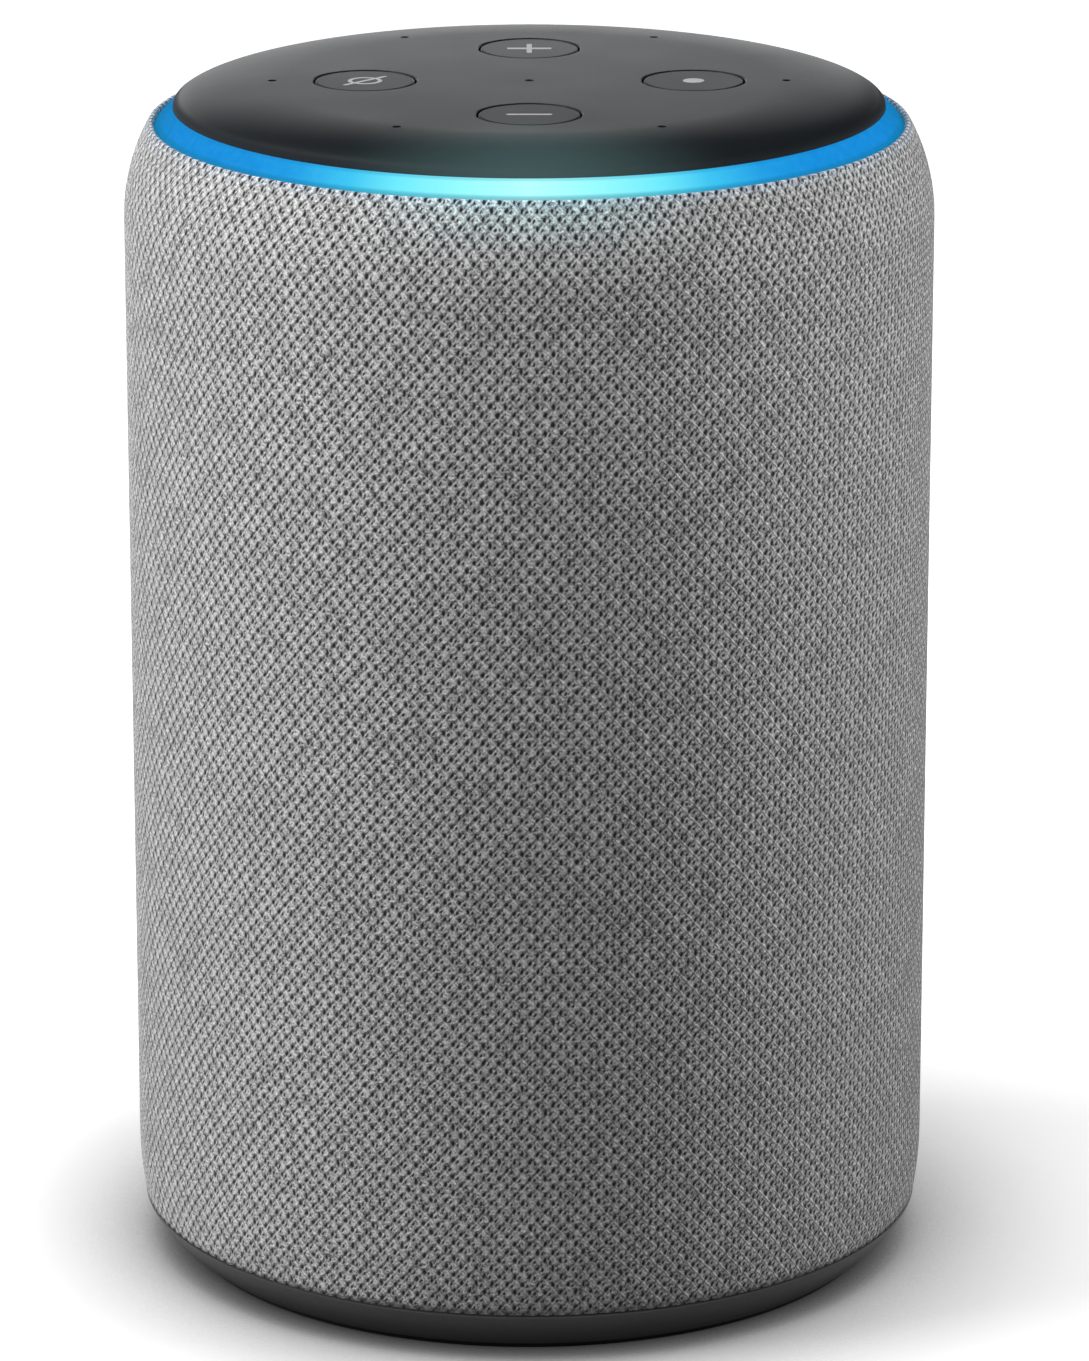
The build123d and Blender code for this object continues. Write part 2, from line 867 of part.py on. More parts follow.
# Enclosure: a deep cup, open at the top, with the woofer's hole in its floor
woofer_hole_radius = woofer_radius - woofer_flange + basket_wall + slip
woofer_screw_circle = (woofer_radius + woofer_hole_radius) / 2
enclosure_inside = enclosure_bottom + enclosure_floor
with BuildPart() as speaker_enclosure:
    with BuildSketch(Plane.XY.offset(enclosure_bottom)):
        Circle(enclosure_radius)
    extrude(amount=enclosure_top - enclosure_bottom)
    with BuildSketch(Plane.XY.offset(enclosure_inside)):
        Circle(enclosure_inner)
    extrude(amount=enclosure_top - enclosure_inside, mode=Mode.SUBTRACT)
    with BuildSketch(Plane.XY.offset(enclosure_top - cap_boss_height)):
        with PolarLocations(cap_boss_circle, post_count, start_angle=cap_boss_turn):
            Circle(cap_boss_radius)
    extrude(amount=cap_boss_height)
    columns(
        cap_boss_circle,
        post_count,
        cap_boss_turn,
        screw_radius + fit,
        enclosure_top - cap_boss_height,
        enclosure_top,
        Mode.SUBTRACT,
    )
    with BuildSketch(Plane.XY.offset(enclosure_bottom)):
        Circle(woofer_hole_radius)
        with PolarLocations(woofer_screw_circle, woofer_screw_count):
            Circle(screw_radius + fit)
        with PolarLocations(pillar_circle, pillar_count, start_angle=pillar_turn):
            Circle(screw_radius + fit)
    extrude(amount=enclosure_floor, mode=Mode.SUBTRACT)
save(speaker_enclosure, "speaker_enclosure")

# ---------------------------------------------------------------- woofer

shelf_low = woofer_face + shelf_rise
flange_back = woofer_face + woofer_flange_thickness
basket_inner = woofer_radius - woofer_flange
basket_side_top = woofer_face + basket_side_height
with BuildPart() as woofer_gasket:
    with BuildSketch(Plane.XY.offset(flange_back)):
        Circle(woofer_radius)
        Circle(woofer_hole_radius, mode=Mode.SUBTRACT)
        with PolarLocations(woofer_screw_circle, woofer_screw_count):
            Circle(screw_radius + fit, mode=Mode.SUBTRACT)
    extrude(amount=gasket_thickness)
save(woofer_gasket, "woofer_gasket")

# Basket: flange, side wall, six windows in the slope and the shelf that carries the motor
with BuildPart() as woofer_basket:
    with BuildSketch(Plane.XZ):
        with BuildLine():
            Polyline(
                (basket_inner, woofer_face),
                (woofer_radius, woofer_face),
                (woofer_radius, flange_back),
                (basket_inner + basket_wall, flange_back),
                (basket_inner + basket_wall, basket_side_top),
                (shelf_radius + basket_wall, shelf_low + shelf_thickness),
                (shelf_hole_radius, shelf_low + shelf_thickness),
                (shelf_hole_radius, shelf_low),
                (shelf_radius, shelf_low),
                (basket_inner, basket_side_top),
                close=True,
            )
        make_face()
    revolve(axis=Axis.Z)
    with BuildSketch(Plane.XY.offset(woofer_face)):
        with PolarLocations(woofer_screw_circle, woofer_screw_count):
            Circle(screw_radius + fit)
    extrude(amount=woofer_flange_thickness, mode=Mode.SUBTRACT)
    with BuildSketch(Plane.XY.offset(basket_side_top)):
        with PolarLocations(shelf_radius + basket_wall, basket_window_count, basket_window_turn):
            Rectangle(basket_window_width, basket_window_width)
    extrude(amount=shelf_low - basket_side_top - basket_wall, mode=Mode.SUBTRACT)
save(woofer_basket, "woofer_basket")

woofer_screws = screws(
    woofer_screw_circle,
    woofer_screw_count,
    0,
    woofer_face - screw_head_height,
    woofer_face,
    enclosure_inside - slip,
)
save(woofer_screws, "woofer_screws")

# The parts that move: cone, dust cap and voice coil
former_outer = coil_radius + former_thickness
cone_radius = basket_inner - surround_width
cone_edge = woofer_face + cone_edge_rise
cone_neck = cone_edge + cone_depth
cone_slope = cone_depth / (cone_radius - former_outer)
woofer_cone = turned(
    (former_outer + fit, cone_neck),
    (cone_radius, cone_edge),
    (cone_radius, cone_edge + cone_thickness),
    (former_outer + fit, cone_neck + cone_thickness),
)
save(woofer_cone, "woofer_cone")

dust_cap_seat = cone_neck - cone_slope * (dust_cap_radius - former_outer) - fit
dust_cap_inner = dust_cap_radius - dust_cap_thickness
with BuildPart() as woofer_dust_cap:
    with BuildSketch(Plane.XZ):
        with BuildLine():
            cap_arc(dust_cap_radius, -dust_cap_height, dust_cap_seat)
            Line((dust_cap_radius, dust_cap_seat), (dust_cap_inner, dust_cap_seat))
            cap_arc(dust_cap_inner, dust_cap_thickness - dust_cap_height, dust_cap_seat)
            Line(
                (0, dust_cap_seat - dust_cap_height + dust_cap_thickness),
                (0, dust_cap_seat - dust_cap_height),
            )
        make_face()
    revolve(axis=Axis.Z)
save(woofer_dust_cap, "woofer_dust_cap")

coil_low = cone_neck - former_thickness
coil_high = coil_low + coil_length
woofer_voice_coil = turned(
    (coil_radius, coil_low),
    (former_outer, coil_low),
    (former_outer, coil_high - winding_length),
    (former_outer + coil_winding, coil_high - winding_length),
    (former_outer + coil_winding, coil_high),
    (coil_radius, coil_high),
)
save(woofer_voice_coil, "woofer_voice_coil")

# Surround and spider: the two soft rings that let the cone move
surround_top = cone_edge + cone_thickness
surround_low = surround_top - surround_drop
with BuildPart() as woofer_surround:
    with BuildSketch(Plane.XZ):
        with BuildLine():
            surround_outer = basket_inner - fit
            surround_inner = cone_radius + fit
            Line((surround_inner, surround_top), (surround_inner, surround_top - surround_thickness))
            ThreePointArc(
                (surround_inner, surround_top - surround_thickness),
                (surround_inner + surround_drop / 2, surround_top - surround_thickness - surround_drop / 4),
                (surround_outer - surround_thickness, surround_low),
            )
            Line((surround_outer - surround_thickness, surround_low), (surround_outer, surround_low))
            ThreePointArc(
                (surround_outer, surround_low),
                (surround_inner + surround_drop / 2 + surround_thickness, surround_top - surround_drop / 4),
                (surround_inner, surround_top),
            )
        make_face()
    revolve(axis=Axis.Z)
save(woofer_surround, "woofer_surround")

spider_inner = former_outer + fit
spider_low = shelf_low - spider_height
spider_step = (shelf_radius - fit - spider_inner) / 4
spider_rise = spider_height - spider_thickness
woofer_spider = turned(
    (spider_inner, spider_low),
    (spider_inner + spider_step, spider_low + spider_rise / 2),
    (spider_inner + 2 * spider_step, spider_low + spider_rise / 4),
    (spider_inner + 3 * spider_step, spider_low + spider_rise),
    (spider_inner + 4 * spider_step, spider_low + spider_rise),
    (spider_inner + 4 * spider_step, shelf_low),
    (spider_inner + 3 * spider_step, shelf_low),
    (spider_inner + 2 * spider_step, spider_low + spider_rise / 4 + spider_thickness),
    (spider_inner + spider_step, spider_low + spider_rise / 2 + spider_thickness),
    (spider_inner, spider_low + spider_thickness),
)
save(woofer_spider, "woofer_spider")

# Motor: front plate, ring magnet, and the back plate with its pole
front_plate_low = shelf_low + shelf_thickness
magnet_low = front_plate_low + front_plate_thickness
back_plate_low = magnet_low + magnet_thickness
front_plate_hole = former_outer + coil_winding + coil_gap
woofer_front_plate = flat_ring(front_plate_hole, front_plate_radius, front_plate_low, magnet_low)
save(woofer_front_plate, "woofer_front_plate")

woofer_magnet = flat_ring(magnet_hole_radius, magnet_radius, magnet_low, back_plate_low)
save(woofer_magnet, "woofer_magnet")

pole_radius = coil_radius - coil_gap
woofer_back_plate = turned(
    (0, front_plate_low),
    (pole_radius, front_plate_low),
    (pole_radius, back_plate_low),
    (front_plate_radius, back_plate_low),
    (front_plate_radius, back_plate_low + back_plate_thickness),
    (0, back_plate_low + back_plate_thickness),
)
save(woofer_back_plate, "woofer_back_plate")

# ---------------------------------------------------------------- base

# Deflector: a cone under the woofer, with pillars that hold the enclosure up
deflector_rim = lip_inner - slip
port_board_top = port_height - dc_height / 2
port_board_bottom = port_board_top - board_thickness
bezel_back = body_radius - bezel_setback - bezel_depth
jack_back = bezel_back - jack_depth
port_board_length = (aux_place + aux_width / 2) - (dc_place - dc_width / 2) + 2 * port_board_margin
port_board_centre = ((aux_place + aux_width / 2) + (dc_place - dc_width / 2)) / 2
port_board_front = jack_back - port_board_tail
deflector_radius = port_board_front - deflector_gap
port_post_places = [
    (port_board_centre - port_board_length / 2 + port_post_radius, bezel_back - port_post_radius),
    (port_board_centre + port_board_length / 2 - port_post_radius, bezel_back - port_post_radius),
]
with BuildPart() as sound_deflector:
    with BuildSketch(Plane.XY.offset(tray_top)):
        Circle(deflector_rim)
    extrude(amount=deflector_plate)
    with BuildSketch(Plane.XZ):
        with BuildLine():
            Line((0, deflector_top), (0, deflector_top + deflector_height))
            cone_side(deflector_radius, deflector_top, deflector_height)
            Line((deflector_radius, deflector_top), (0, deflector_top))
        make_face()
    revolve(axis=Axis.Z)
    columns(pillar_circle, pillar_count, pillar_turn, pillar_radius, deflector_top, enclosure_bottom)
    columns(
        pillar_circle,
        pillar_count,
        pillar_turn,
        screw_radius + fit,
        tray_top,
        enclosure_bottom,
        Mode.SUBTRACT,
    )
    with BuildSketch(Plane.XY.offset(deflector_top)):
        with Locations(*port_post_places):
            Circle(port_post_radius)
    extrude(amount=port_board_bottom - deflector_top)
save(sound_deflector, "sound_deflector")

# Base tray: the dark tapered foot of the body, with a clip lip inside the grille
screw_seat = foot_height + screw_head_height
with BuildPart() as base_tray:
    with BuildSketch(Plane.XZ) as tray_section:
        with BuildLine():
            ThreePointArc(
                (tray_foot_radius, foot_stand),
                (tray_radius - tray_taper / 2 + tray_bulge, (foot_stand + base_height) / 2 - tray_bulge),
                (tray_radius, base_height),
            )
            Polyline(
                (tray_radius, base_height),
                (lip_radius, base_height),
                (lip_radius, lip_top),
                (lip_inner, lip_top),
                (lip_inner, tray_top),
                (0, tray_top),
                (0, foot_stand),
                (foot_inner - fit, foot_stand),
                (foot_inner - fit, foot_height),
                (foot_outer + fit, foot_height),
                (foot_outer + fit, foot_stand),
                (tray_foot_radius, foot_stand),
            )
        make_face()
        fillet(tray_section.vertices().sort_by(Axis.X)[-1], tray_edge)
    revolve(axis=Axis.Z)
    rear_cut(fit)
    columns(
        pillar_circle,
        pillar_count,
        pillar_turn,
        screw_head_radius + fit,
        foot_height,
        screw_seat,
        Mode.SUBTRACT,
    )
    columns(
        pillar_circle,
        pillar_count,
        pillar_turn,
        screw_radius + fit,
        screw_seat,
        tray_top,
        Mode.SUBTRACT,
    )
save(base_tray, "base_tray")

base_screws = screws(
    pillar_circle,
    pillar_count,
    pillar_turn,
    foot_height,
    screw_seat,
    enclosure_inside - slip,
)
save(base_screws, "base_screws")

base_foot = flat_ring(foot_inner, foot_outer, 0, foot_height)
save(base_foot, "base_foot")

# ---------------------------------------------------------------- sockets

# Socket panel: a round-ended block that follows the wall, with a shallow recess
bezel_face = body_radius - bezel_setback
bezel_floor = bezel_face - bezel_recess
with BuildPart() as port_panel:
    with BuildSketch(rear.offset(bezel_back)):
        SlotOverall(bezel_length, bezel_height)
    extrude(amount=2 * bezel_depth)
    with BuildSketch(Plane.XY):
        Circle(bezel_face)
    extrude(amount=port_height + bezel_height, mode=Mode.INTERSECT)
    with BuildSketch(rear.offset(bezel_floor)):
        SlotOverall(bezel_length - 2 * bezel_rim, bezel_height - 2 * bezel_rim)
    extrude(amount=bezel_depth, mode=Mode.SUBTRACT)
    with BuildSketch(rear.offset(bezel_back)):
        with Locations((-dc_place, 0)):
            Circle(dc_nose_radius + fit)
        with Locations((-aux_place, 0)):
            Circle(aux_nose_radius + fit)
    extrude(amount=bezel_depth, mode=Mode.SUBTRACT)
save(port_panel, "port_panel")

# Power socket: a barrel, and the centre pin that stands on its floor
with BuildPart() as power_socket:
    with BuildSketch(rear.offset(jack_back)):
        with Locations((-dc_place, 0)):
            Rectangle(dc_width, dc_height)
    extrude(amount=jack_depth)
    with BuildSketch(rear.offset(bezel_back)):
        with Locations((-dc_place, 0)):
            Circle(dc_nose_radius)
    extrude(amount=bezel_floor - bezel_back)
    with BuildSketch(rear.offset(bezel_floor)):
        with Locations((-dc_place, 0)):
            Circle(dc_socket_radius)
    extrude(amount=-dc_socket_depth, mode=Mode.SUBTRACT)
save(power_socket, "power_socket")

with BuildPart() as power_contact:
    with BuildSketch(rear.offset(bezel_floor - dc_socket_depth)):
        with Locations((-dc_place, 0)):
            Circle(dc_pin_radius)
    extrude(amount=dc_socket_depth - dc_pin_setback)
save(power_contact, "power_contact")

# Line socket for a 3.5 mm plug
with BuildPart() as line_socket:
    with BuildSketch(rear.offset(jack_back)):
        with Locations((-aux_place, (aux_rise - dc_height / 2) / 2)):
            Rectangle(aux_width, aux_rise + dc_height / 2)
    extrude(amount=jack_depth)
    with BuildSketch(rear.offset(bezel_back)):
        with Locations((-aux_place, 0)):
            Circle(aux_nose_radius)
    extrude(amount=bezel_floor - bezel_back)
    with BuildSketch(rear.offset(bezel_floor)):
        with Locations((-aux_place, 0)):
            Circle(aux_bore_radius)
    extrude(amount=-aux_bore_depth, mode=Mode.SUBTRACT)
save(line_socket, "line_socket")

# Small board under the sockets, with the plug of the cable that climbs to the main board
port_plug_place = port_board_front + port_plug_width
port_plug_top = port_board_top + connector_height
with BuildPart() as port_board:
    with BuildSketch(Plane.XY.offset(port_board_bottom)):
        with Locations((port_board_centre, (bezel_back + port_board_front) / 2)):
            Rectangle(port_board_length, bezel_back - port_board_front)
    extrude(amount=board_thickness)
save(port_board, "port_board")

with BuildPart() as port_plug:
    blocks([(0, port_plug_place)], connector_length, port_plug_width, port_board_top, port_plug_top)
save(port_plug, "port_plug")

# Flat cable: up from the plug, out over the sockets, and up between enclosure and grille
cable_turn = port_height + dc_height / 2 + cable_climb
cable_wall = enclosure_radius + cable_standoff + cable_thickness / 2
cable_end = main_board_top + connector_height / 2
with BuildPart() as rear_cable:
    with BuildSketch(Plane.YZ):
        with BuildLine():
            Polyline(
                (port_plug_place, port_plug_top),
                (port_plug_place, cable_turn),
                (cable_wall, cable_turn),
                (cable_wall, cable_end),
                (rear_plug_place + connector_width / 2, cable_end),
            )
        trace(line_width=cable_thickness)
    extrude(amount=cable_width / 2, both=True)
save(rear_cable, "rear_cable")
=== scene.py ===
import json
from math import asin, cos, pi, radians, sin, tan

import bmesh
import bpy
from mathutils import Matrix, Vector


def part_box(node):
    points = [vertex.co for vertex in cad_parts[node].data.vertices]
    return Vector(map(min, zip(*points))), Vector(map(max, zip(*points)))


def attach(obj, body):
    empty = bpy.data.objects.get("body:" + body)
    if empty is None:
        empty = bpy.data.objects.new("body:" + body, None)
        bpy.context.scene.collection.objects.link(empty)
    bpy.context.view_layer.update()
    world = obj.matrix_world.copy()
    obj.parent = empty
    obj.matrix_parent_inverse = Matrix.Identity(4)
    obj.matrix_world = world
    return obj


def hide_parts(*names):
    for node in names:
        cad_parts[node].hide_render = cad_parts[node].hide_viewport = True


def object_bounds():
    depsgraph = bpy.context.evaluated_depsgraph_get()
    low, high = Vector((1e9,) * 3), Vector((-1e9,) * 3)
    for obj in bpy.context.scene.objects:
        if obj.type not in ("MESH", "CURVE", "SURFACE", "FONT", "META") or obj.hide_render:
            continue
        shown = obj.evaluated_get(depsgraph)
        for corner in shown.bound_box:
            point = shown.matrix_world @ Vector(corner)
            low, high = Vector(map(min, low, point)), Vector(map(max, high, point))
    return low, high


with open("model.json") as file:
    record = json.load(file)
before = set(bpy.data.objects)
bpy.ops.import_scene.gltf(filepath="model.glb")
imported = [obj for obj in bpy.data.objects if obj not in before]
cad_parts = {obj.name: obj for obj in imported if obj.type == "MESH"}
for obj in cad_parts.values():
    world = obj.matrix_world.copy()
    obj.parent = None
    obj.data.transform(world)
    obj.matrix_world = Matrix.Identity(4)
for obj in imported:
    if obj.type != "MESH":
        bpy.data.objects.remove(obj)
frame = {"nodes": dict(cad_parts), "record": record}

# A cylindrical smart speaker: open knit over a moulded grille, a soft-touch top plate with four
# printed buttons inside a lit ring, and a dark tapered base. The CAD frame holds every hard piece;
# this script knits the sleeve, prints the buttons' marks and finishes every surface.

cad_low, cad_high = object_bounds()
MM = 0.001

# ---------------------------------------------------------------- sizes, from the frame

sleeve_low, sleeve_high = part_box("fabric_sleeve")
_, ring_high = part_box("light_ring")
_, plate_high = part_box("top_plate")
ring_width = 2.05 * MM
ring_inner = plate_high.x
ring_outer = ring_inner + ring_width
skin_radius = sleeve_high.x
hem_height = sleeve_low.z
top_height = cad_high.z

shoulder_radius = 23.0 * MM  # of the arc that leads the wall in to the light ring
shoulder_start = top_height - 16.3 * MM
mouth_height = top_height - 4.9 * MM  # where the sleeve's upper edge starts to roll over
hem_radius = 42.35 * MM  # of the arc above the base
hem_start = hem_height + 7.7 * MM
cloth_thickness = 0.8 * MM

# The sleeve's section, from the base up: the hem's arc, the straight wall and the shoulder's arc
hem_length = hem_radius * asin((hem_start - hem_height) / hem_radius)
wall_length = shoulder_start - hem_start
shoulder_slope = asin((mouth_height - shoulder_start) / shoulder_radius)
sleeve_length = hem_length + wall_length + shoulder_radius * shoulder_slope

# The knit's lattice: openings stand in rows, every other row shifted by half a place
openings_round = 168
wanted_pitch = 1.052 * MM
row_count = round(sleeve_length / wanted_pitch)
row_pitch = sleeve_length / row_count

# ---------------------------------------------------------------- node graphs


class Graph:
    """Places and links the nodes of one material, world or group."""

    def __init__(self, tree):
        self.tree = tree

    def put(self, kind, **settings):
        node = self.tree.nodes.new(kind)
        for name, value in settings.items():
            setattr(node, name, value)
        return node

    def feed(self, socket, value):
        """Gives a socket another node's output, or a plain value."""
        if isinstance(value, bpy.types.NodeSocket):
            self.tree.links.new(value, socket)
        else:
            socket.default_value = value

    def math(self, operation, *values, clamp=False):
        node = self.put("ShaderNodeMath", operation=operation, use_clamp=clamp)
        for socket, value in zip(node.inputs, values):
            self.feed(socket, value)
        return node.outputs[0]

    def plus(self, first, second):
        return self.math("ADD", first, second)

    def minus(self, first, second):
        return self.math("SUBTRACT", first, second)

    def times(self, first, second):
        return self.math("MULTIPLY", first, second)

    def over(self, first, second):
        return self.math("DIVIDE", first, second)

    def larger(self, first, second):
        return self.math("MAXIMUM", first, second)

    def add_share(self, total, value, share, clamp=False):
        """The total with a share of value on top."""
        return self.math("MULTIPLY_ADD", value, share, total, clamp=clamp)

    def add_swing(self, total, value, share):
        """The total, raised or lowered as value, from 0 to 1, lies over or under its middle."""
        return self.add_share(total, self.minus(value, 0.5), share)

    def reach(self, x, y):
        """Distance from the middle, from two distances at right angles."""
        return self.math("SQRT", self.plus(self.times(x, x), self.times(y, y)))

    def turn(self, x, y):
        """Angle round the body in radians: 0 at the front, growing to the right."""
        return self.math("ARCTAN2", x, self.times(y, -1.0))

    def ripple(self, value, pitch=1.0):
        """Rounded ridges a pitch apart: 1 on each crest, 0 in the grooves at whole pitches."""
        return self.math("ABSOLUTE", self.math("SINE", self.times(value, pi / pitch)))

    def step(self, value, start, end, low=0.0, high=1.0):
        """Goes smoothly from low to high as value goes from start to end."""
        node = self.put("ShaderNodeMapRange", interpolation_type="SMOOTHSTEP")
        for socket, given in zip(node.inputs, (value, start, end, low, high)):
            self.feed(socket, given)
        return node.outputs[0]

    def mix(self, factor, first, second, blend_type="MIX"):
        node = self.put("ShaderNodeMix", data_type="RGBA", blend_type=blend_type)
        self.feed(node.inputs[0], factor)
        self.feed(node.inputs[6], first)
        self.feed(node.inputs[7], second)
        return node.outputs[2]

    def shaded(self, colour, shade):
        """The colour made lighter or darker by a shade of about 1."""
        return self.mix(1.0, colour, self.join(shade, shade, shade), "MULTIPLY")

    def ramp(self, value, *stops):
        """A colour ramp from (place, colour) stops."""
        node = self.put("ShaderNodeValToRGB")
        while len(node.color_ramp.elements) < len(stops):
            node.color_ramp.elements.new(1.0)
        for element, (place, colour) in zip(node.color_ramp.elements, stops):
            element.position = place
            element.color = colour
        self.feed(node.inputs[0], value)
        return node.outputs[0]

    def noise(self, vector, scale, detail=2.0, roughness=0.5):
        node = self.put("ShaderNodeTexNoise")
        self.feed(node.inputs["Vector"], vector)
        self.feed(node.inputs["Scale"], scale)
        node.inputs["Detail"].default_value = detail
        node.inputs["Roughness"].default_value = roughness
        return node.outputs[0]

    def place(self):
        """Position on the object, in metres."""
        return self.put("ShaderNodeTexCoord").outputs["Object"]

    def split(self, vector):
        node = self.put("ShaderNodeSeparateXYZ")
        self.feed(node.inputs[0], vector)
        return node.outputs

    def join(self, x, y, z):
        node = self.put("ShaderNodeCombineXYZ")
        for socket, value in zip(node.inputs, (x, y, z)):
            self.feed(socket, value)
        return node.outputs[0]

    def stretch(self, vector, x, y, z):
        node = self.put("ShaderNodeMapping")
        self.feed(node.inputs["Vector"], vector)
        node.inputs["Scale"].default_value = (x, y, z)
        return node.outputs[0]

    def bump(self, height, strength, distance):
        node = self.put("ShaderNodeBump")
        self.feed(node.inputs["Height"], height)
        node.inputs["Strength"].default_value = strength
        node.inputs["Distance"].default_value = distance
        return node.outputs[0]

    def use(self, group, **values):
        """Places a shader node group; a keyword's underscores stand for spaces in the input's name."""
        node = self.put("ShaderNodeGroup", node_tree=group)
        for name, value in values.items():
            self.feed(node.inputs[name.replace("_", " ")], value)
        return node.outputs


def effect(name, inputs, outputs):
    """A new shader node group with named sockets: its graph, its inputs and its outputs."""
    tree = bpy.data.node_groups.new(name, "ShaderNodeTree")
    for socket, value in inputs.items():
        kind = "NodeSocketColor" if isinstance(value, tuple) else "NodeSocketFloat"
        entry = tree.interface.new_socket(socket, in_out="INPUT", socket_type=kind)
        entry.default_value = value
    for socket, kind in outputs.items():
        tree.interface.new_socket(socket, in_out="OUTPUT", socket_type=f"NodeSocket{kind}")
    graph = Graph(tree)
    given = graph.put("NodeGroupInput").outputs
    result = graph.put("NodeGroupOutput").inputs
    return graph, given, result


# ---------------------------------------------------------------- shared effects


def make_moulded_grain():
    """Fine spark-eroded texture with slow unevenness, as on moulded plastic and rubber."""
    graph, given, result = effect(
        "moulded_grain",
        {
            "Grain Scale": 2500.0,
            "Grain Depth": 0.4,
            "Colour": (0.1, 0.1, 0.1, 1.0),
            "Contrast": 0.1,
            "Roughness": 0.5,
            "Unevenness": 0.08,
        },
        {"Colour": "Color", "Roughness": "Float", "Normal": "Vector"},
    )
    place = graph.place()
    grain = graph.noise(place, given["Grain Scale"], 3.0, 0.6)
    cloud = graph.noise(place, 90.0, 3.0)
    shade = graph.add_swing(1.0, grain, given["Contrast"])
    shade = graph.add_swing(shade, cloud, given["Contrast"])
    graph.feed(result["Colour"], graph.shaded(given["Colour"], shade))
    rough = graph.add_swing(given["Roughness"], cloud, given["Unevenness"])
    graph.feed(result["Roughness"], graph.add_swing(rough, grain, given["Unevenness"]))
    height = graph.times(grain, given["Grain Depth"])
    graph.feed(result["Normal"], graph.bump(height, 1.0, 0.03 * MM))
    return graph.tree


def make_metal_grain():
    """Fine lines round a machined or rolled surface, with a slow change of shade."""
    graph, given, result = effect(
        "metal_grain",
        {
            "Line Scale": 3000.0,
            "Colour": (0.5, 0.5, 0.5, 1.0),
            "Contrast": 0.2,
            "Roughness": 0.35,
        },
        {"Colour": "Color", "Roughness": "Float", "Normal": "Vector"},
    )
    place = graph.place()
    x, y, z = graph.split(place)
    lines = graph.noise(graph.join(graph.reach(x, y), z, 0.0), given["Line Scale"], 2.0)
    cloud = graph.noise(place, 150.0, 3.0)
    both = graph.minus(graph.plus(lines, cloud), 1.0)
    shade = graph.add_share(1.0, both, given["Contrast"])
    graph.feed(result["Colour"], graph.shaded(given["Colour"], shade))
    graph.feed(result["Roughness"], graph.add_share(given["Roughness"], both, 0.15))
    graph.feed(result["Normal"], graph.bump(lines, 0.3, 0.01 * MM))
    return graph.tree


def make_ring_shine():
    """How the ring's light spreads: round the body from its front, outwards, upwards; turn in degrees."""
    graph, given, result = effect(
        "ring_shine",
        {
            "Core Angle": 10.0,
            "Fade Angle": 34.0,
            "Inner Radius": 0.0,
            "Outer Radius": 1.0,
            "Low Height": 0.0,
            "High Height": 1.0,
        },
        {"Front": "Float", "Across": "Float", "Up": "Float", "Turn": "Float"},
    )
    x, y, z = graph.split(graph.place())
    turn = graph.math("DEGREES", graph.math("ABSOLUTE", graph.turn(x, y)))
    front = graph.step(turn, given["Core Angle"], given["Fade Angle"], 1.0, 0.0)
    across = graph.step(graph.reach(x, y), given["Inner Radius"], given["Outer Radius"])
    graph.feed(result["Turn"], turn)
    graph.feed(result["Front"], front)
    graph.feed(result["Across"], across)
    graph.feed(result["Up"], graph.step(z, given["Low Height"], given["High Height"]))
    return graph.tree


def make_knit_cell():
    """The knit's repeat, turned by 45 degrees: the place in it, and the ripples that cross there."""
    graph, given, result = effect(
        "knit_cell",
        {"Around": 0.0, "Along": 0.0},
        {
            "Across Cell": "Float",
            "Up Cell": "Float",
            "Rising Strand": "Float",
            "Falling Strand": "Float",
        },
    )
    rising = graph.minus(given["Around"], given["Along"])
    falling = graph.plus(given["Around"], given["Along"])
    graph.feed(result["Rising Strand"], graph.ripple(rising))
    graph.feed(result["Falling Strand"], graph.ripple(falling))
    rising_place = graph.minus(graph.math("FRACT", rising), 0.5)
    falling_place = graph.minus(graph.math("FRACT", falling), 0.5)
    graph.feed(result["Across Cell"], graph.times(graph.plus(rising_place, falling_place), 0.5))
    graph.feed(result["Up Cell"], graph.times(graph.minus(falling_place, rising_place), 0.5))
    return graph.tree


def make_stitch_mark():
    """A leaning oval at one place in every repeat of the knit: 1 in the oval, 0 outside."""
    graph, given, result = effect(
        "stitch_mark",
        {
            "Around": 0.0,
            "Along": 0.0,
            "Middle Across": 0.0,
            "Middle Up": 0.0,
            "Half Width": 0.1,
            "Half Height": 0.2,
            "Lean": 0.3,
            "Softness": 0.6,
        },
        {"Mark": "Float"},
    )
    cell = graph.use(
        knit_cell,
        Around=graph.minus(given["Around"], given["Middle Across"]),
        Along=graph.minus(given["Along"], given["Middle Up"]),
    )
    upright = graph.minus(cell["Across Cell"], graph.times(cell["Up Cell"], given["Lean"]))
    across = graph.over(upright, given["Half Width"])
    up = graph.over(cell["Up Cell"], given["Half Height"])
    near = graph.minus(1.0, given["Softness"])
    far = graph.plus(1.0, given["Softness"])
    graph.feed(result["Mark"], graph.step(graph.reach(across, up), near, far, 1.0, 0.0))
    return graph.tree


moulded_grain = make_moulded_grain()
metal_grain = make_metal_grain()
ring_shine = make_ring_shine()
knit_cell = make_knit_cell()
stitch_mark = make_stitch_mark()

# ---------------------------------------------------------------- materials


def shader(name, **plain):
    """A new material, its graph and its Principled shader, with plain values set on that shader."""
    material = bpy.data.materials.new(name)
    material.use_nodes = True
    graph = Graph(material.node_tree)
    surface = material.node_tree.nodes["Principled BSDF"]
    for socket, value in plain.items():
        surface.inputs[socket.replace("_", " ")].default_value = value
    return material, graph, surface


def finish_with(graph, surface, colour, roughness, normal):
    graph.feed(surface.inputs["Base Color"], colour)
    graph.feed(surface.inputs["Roughness"], roughness)
    graph.feed(surface.inputs["Normal"], normal)


def glow_with(graph, surface, colour):
    graph.feed(surface.inputs["Emission Color"], colour)
    surface.inputs["Emission Strength"].default_value = 1.0


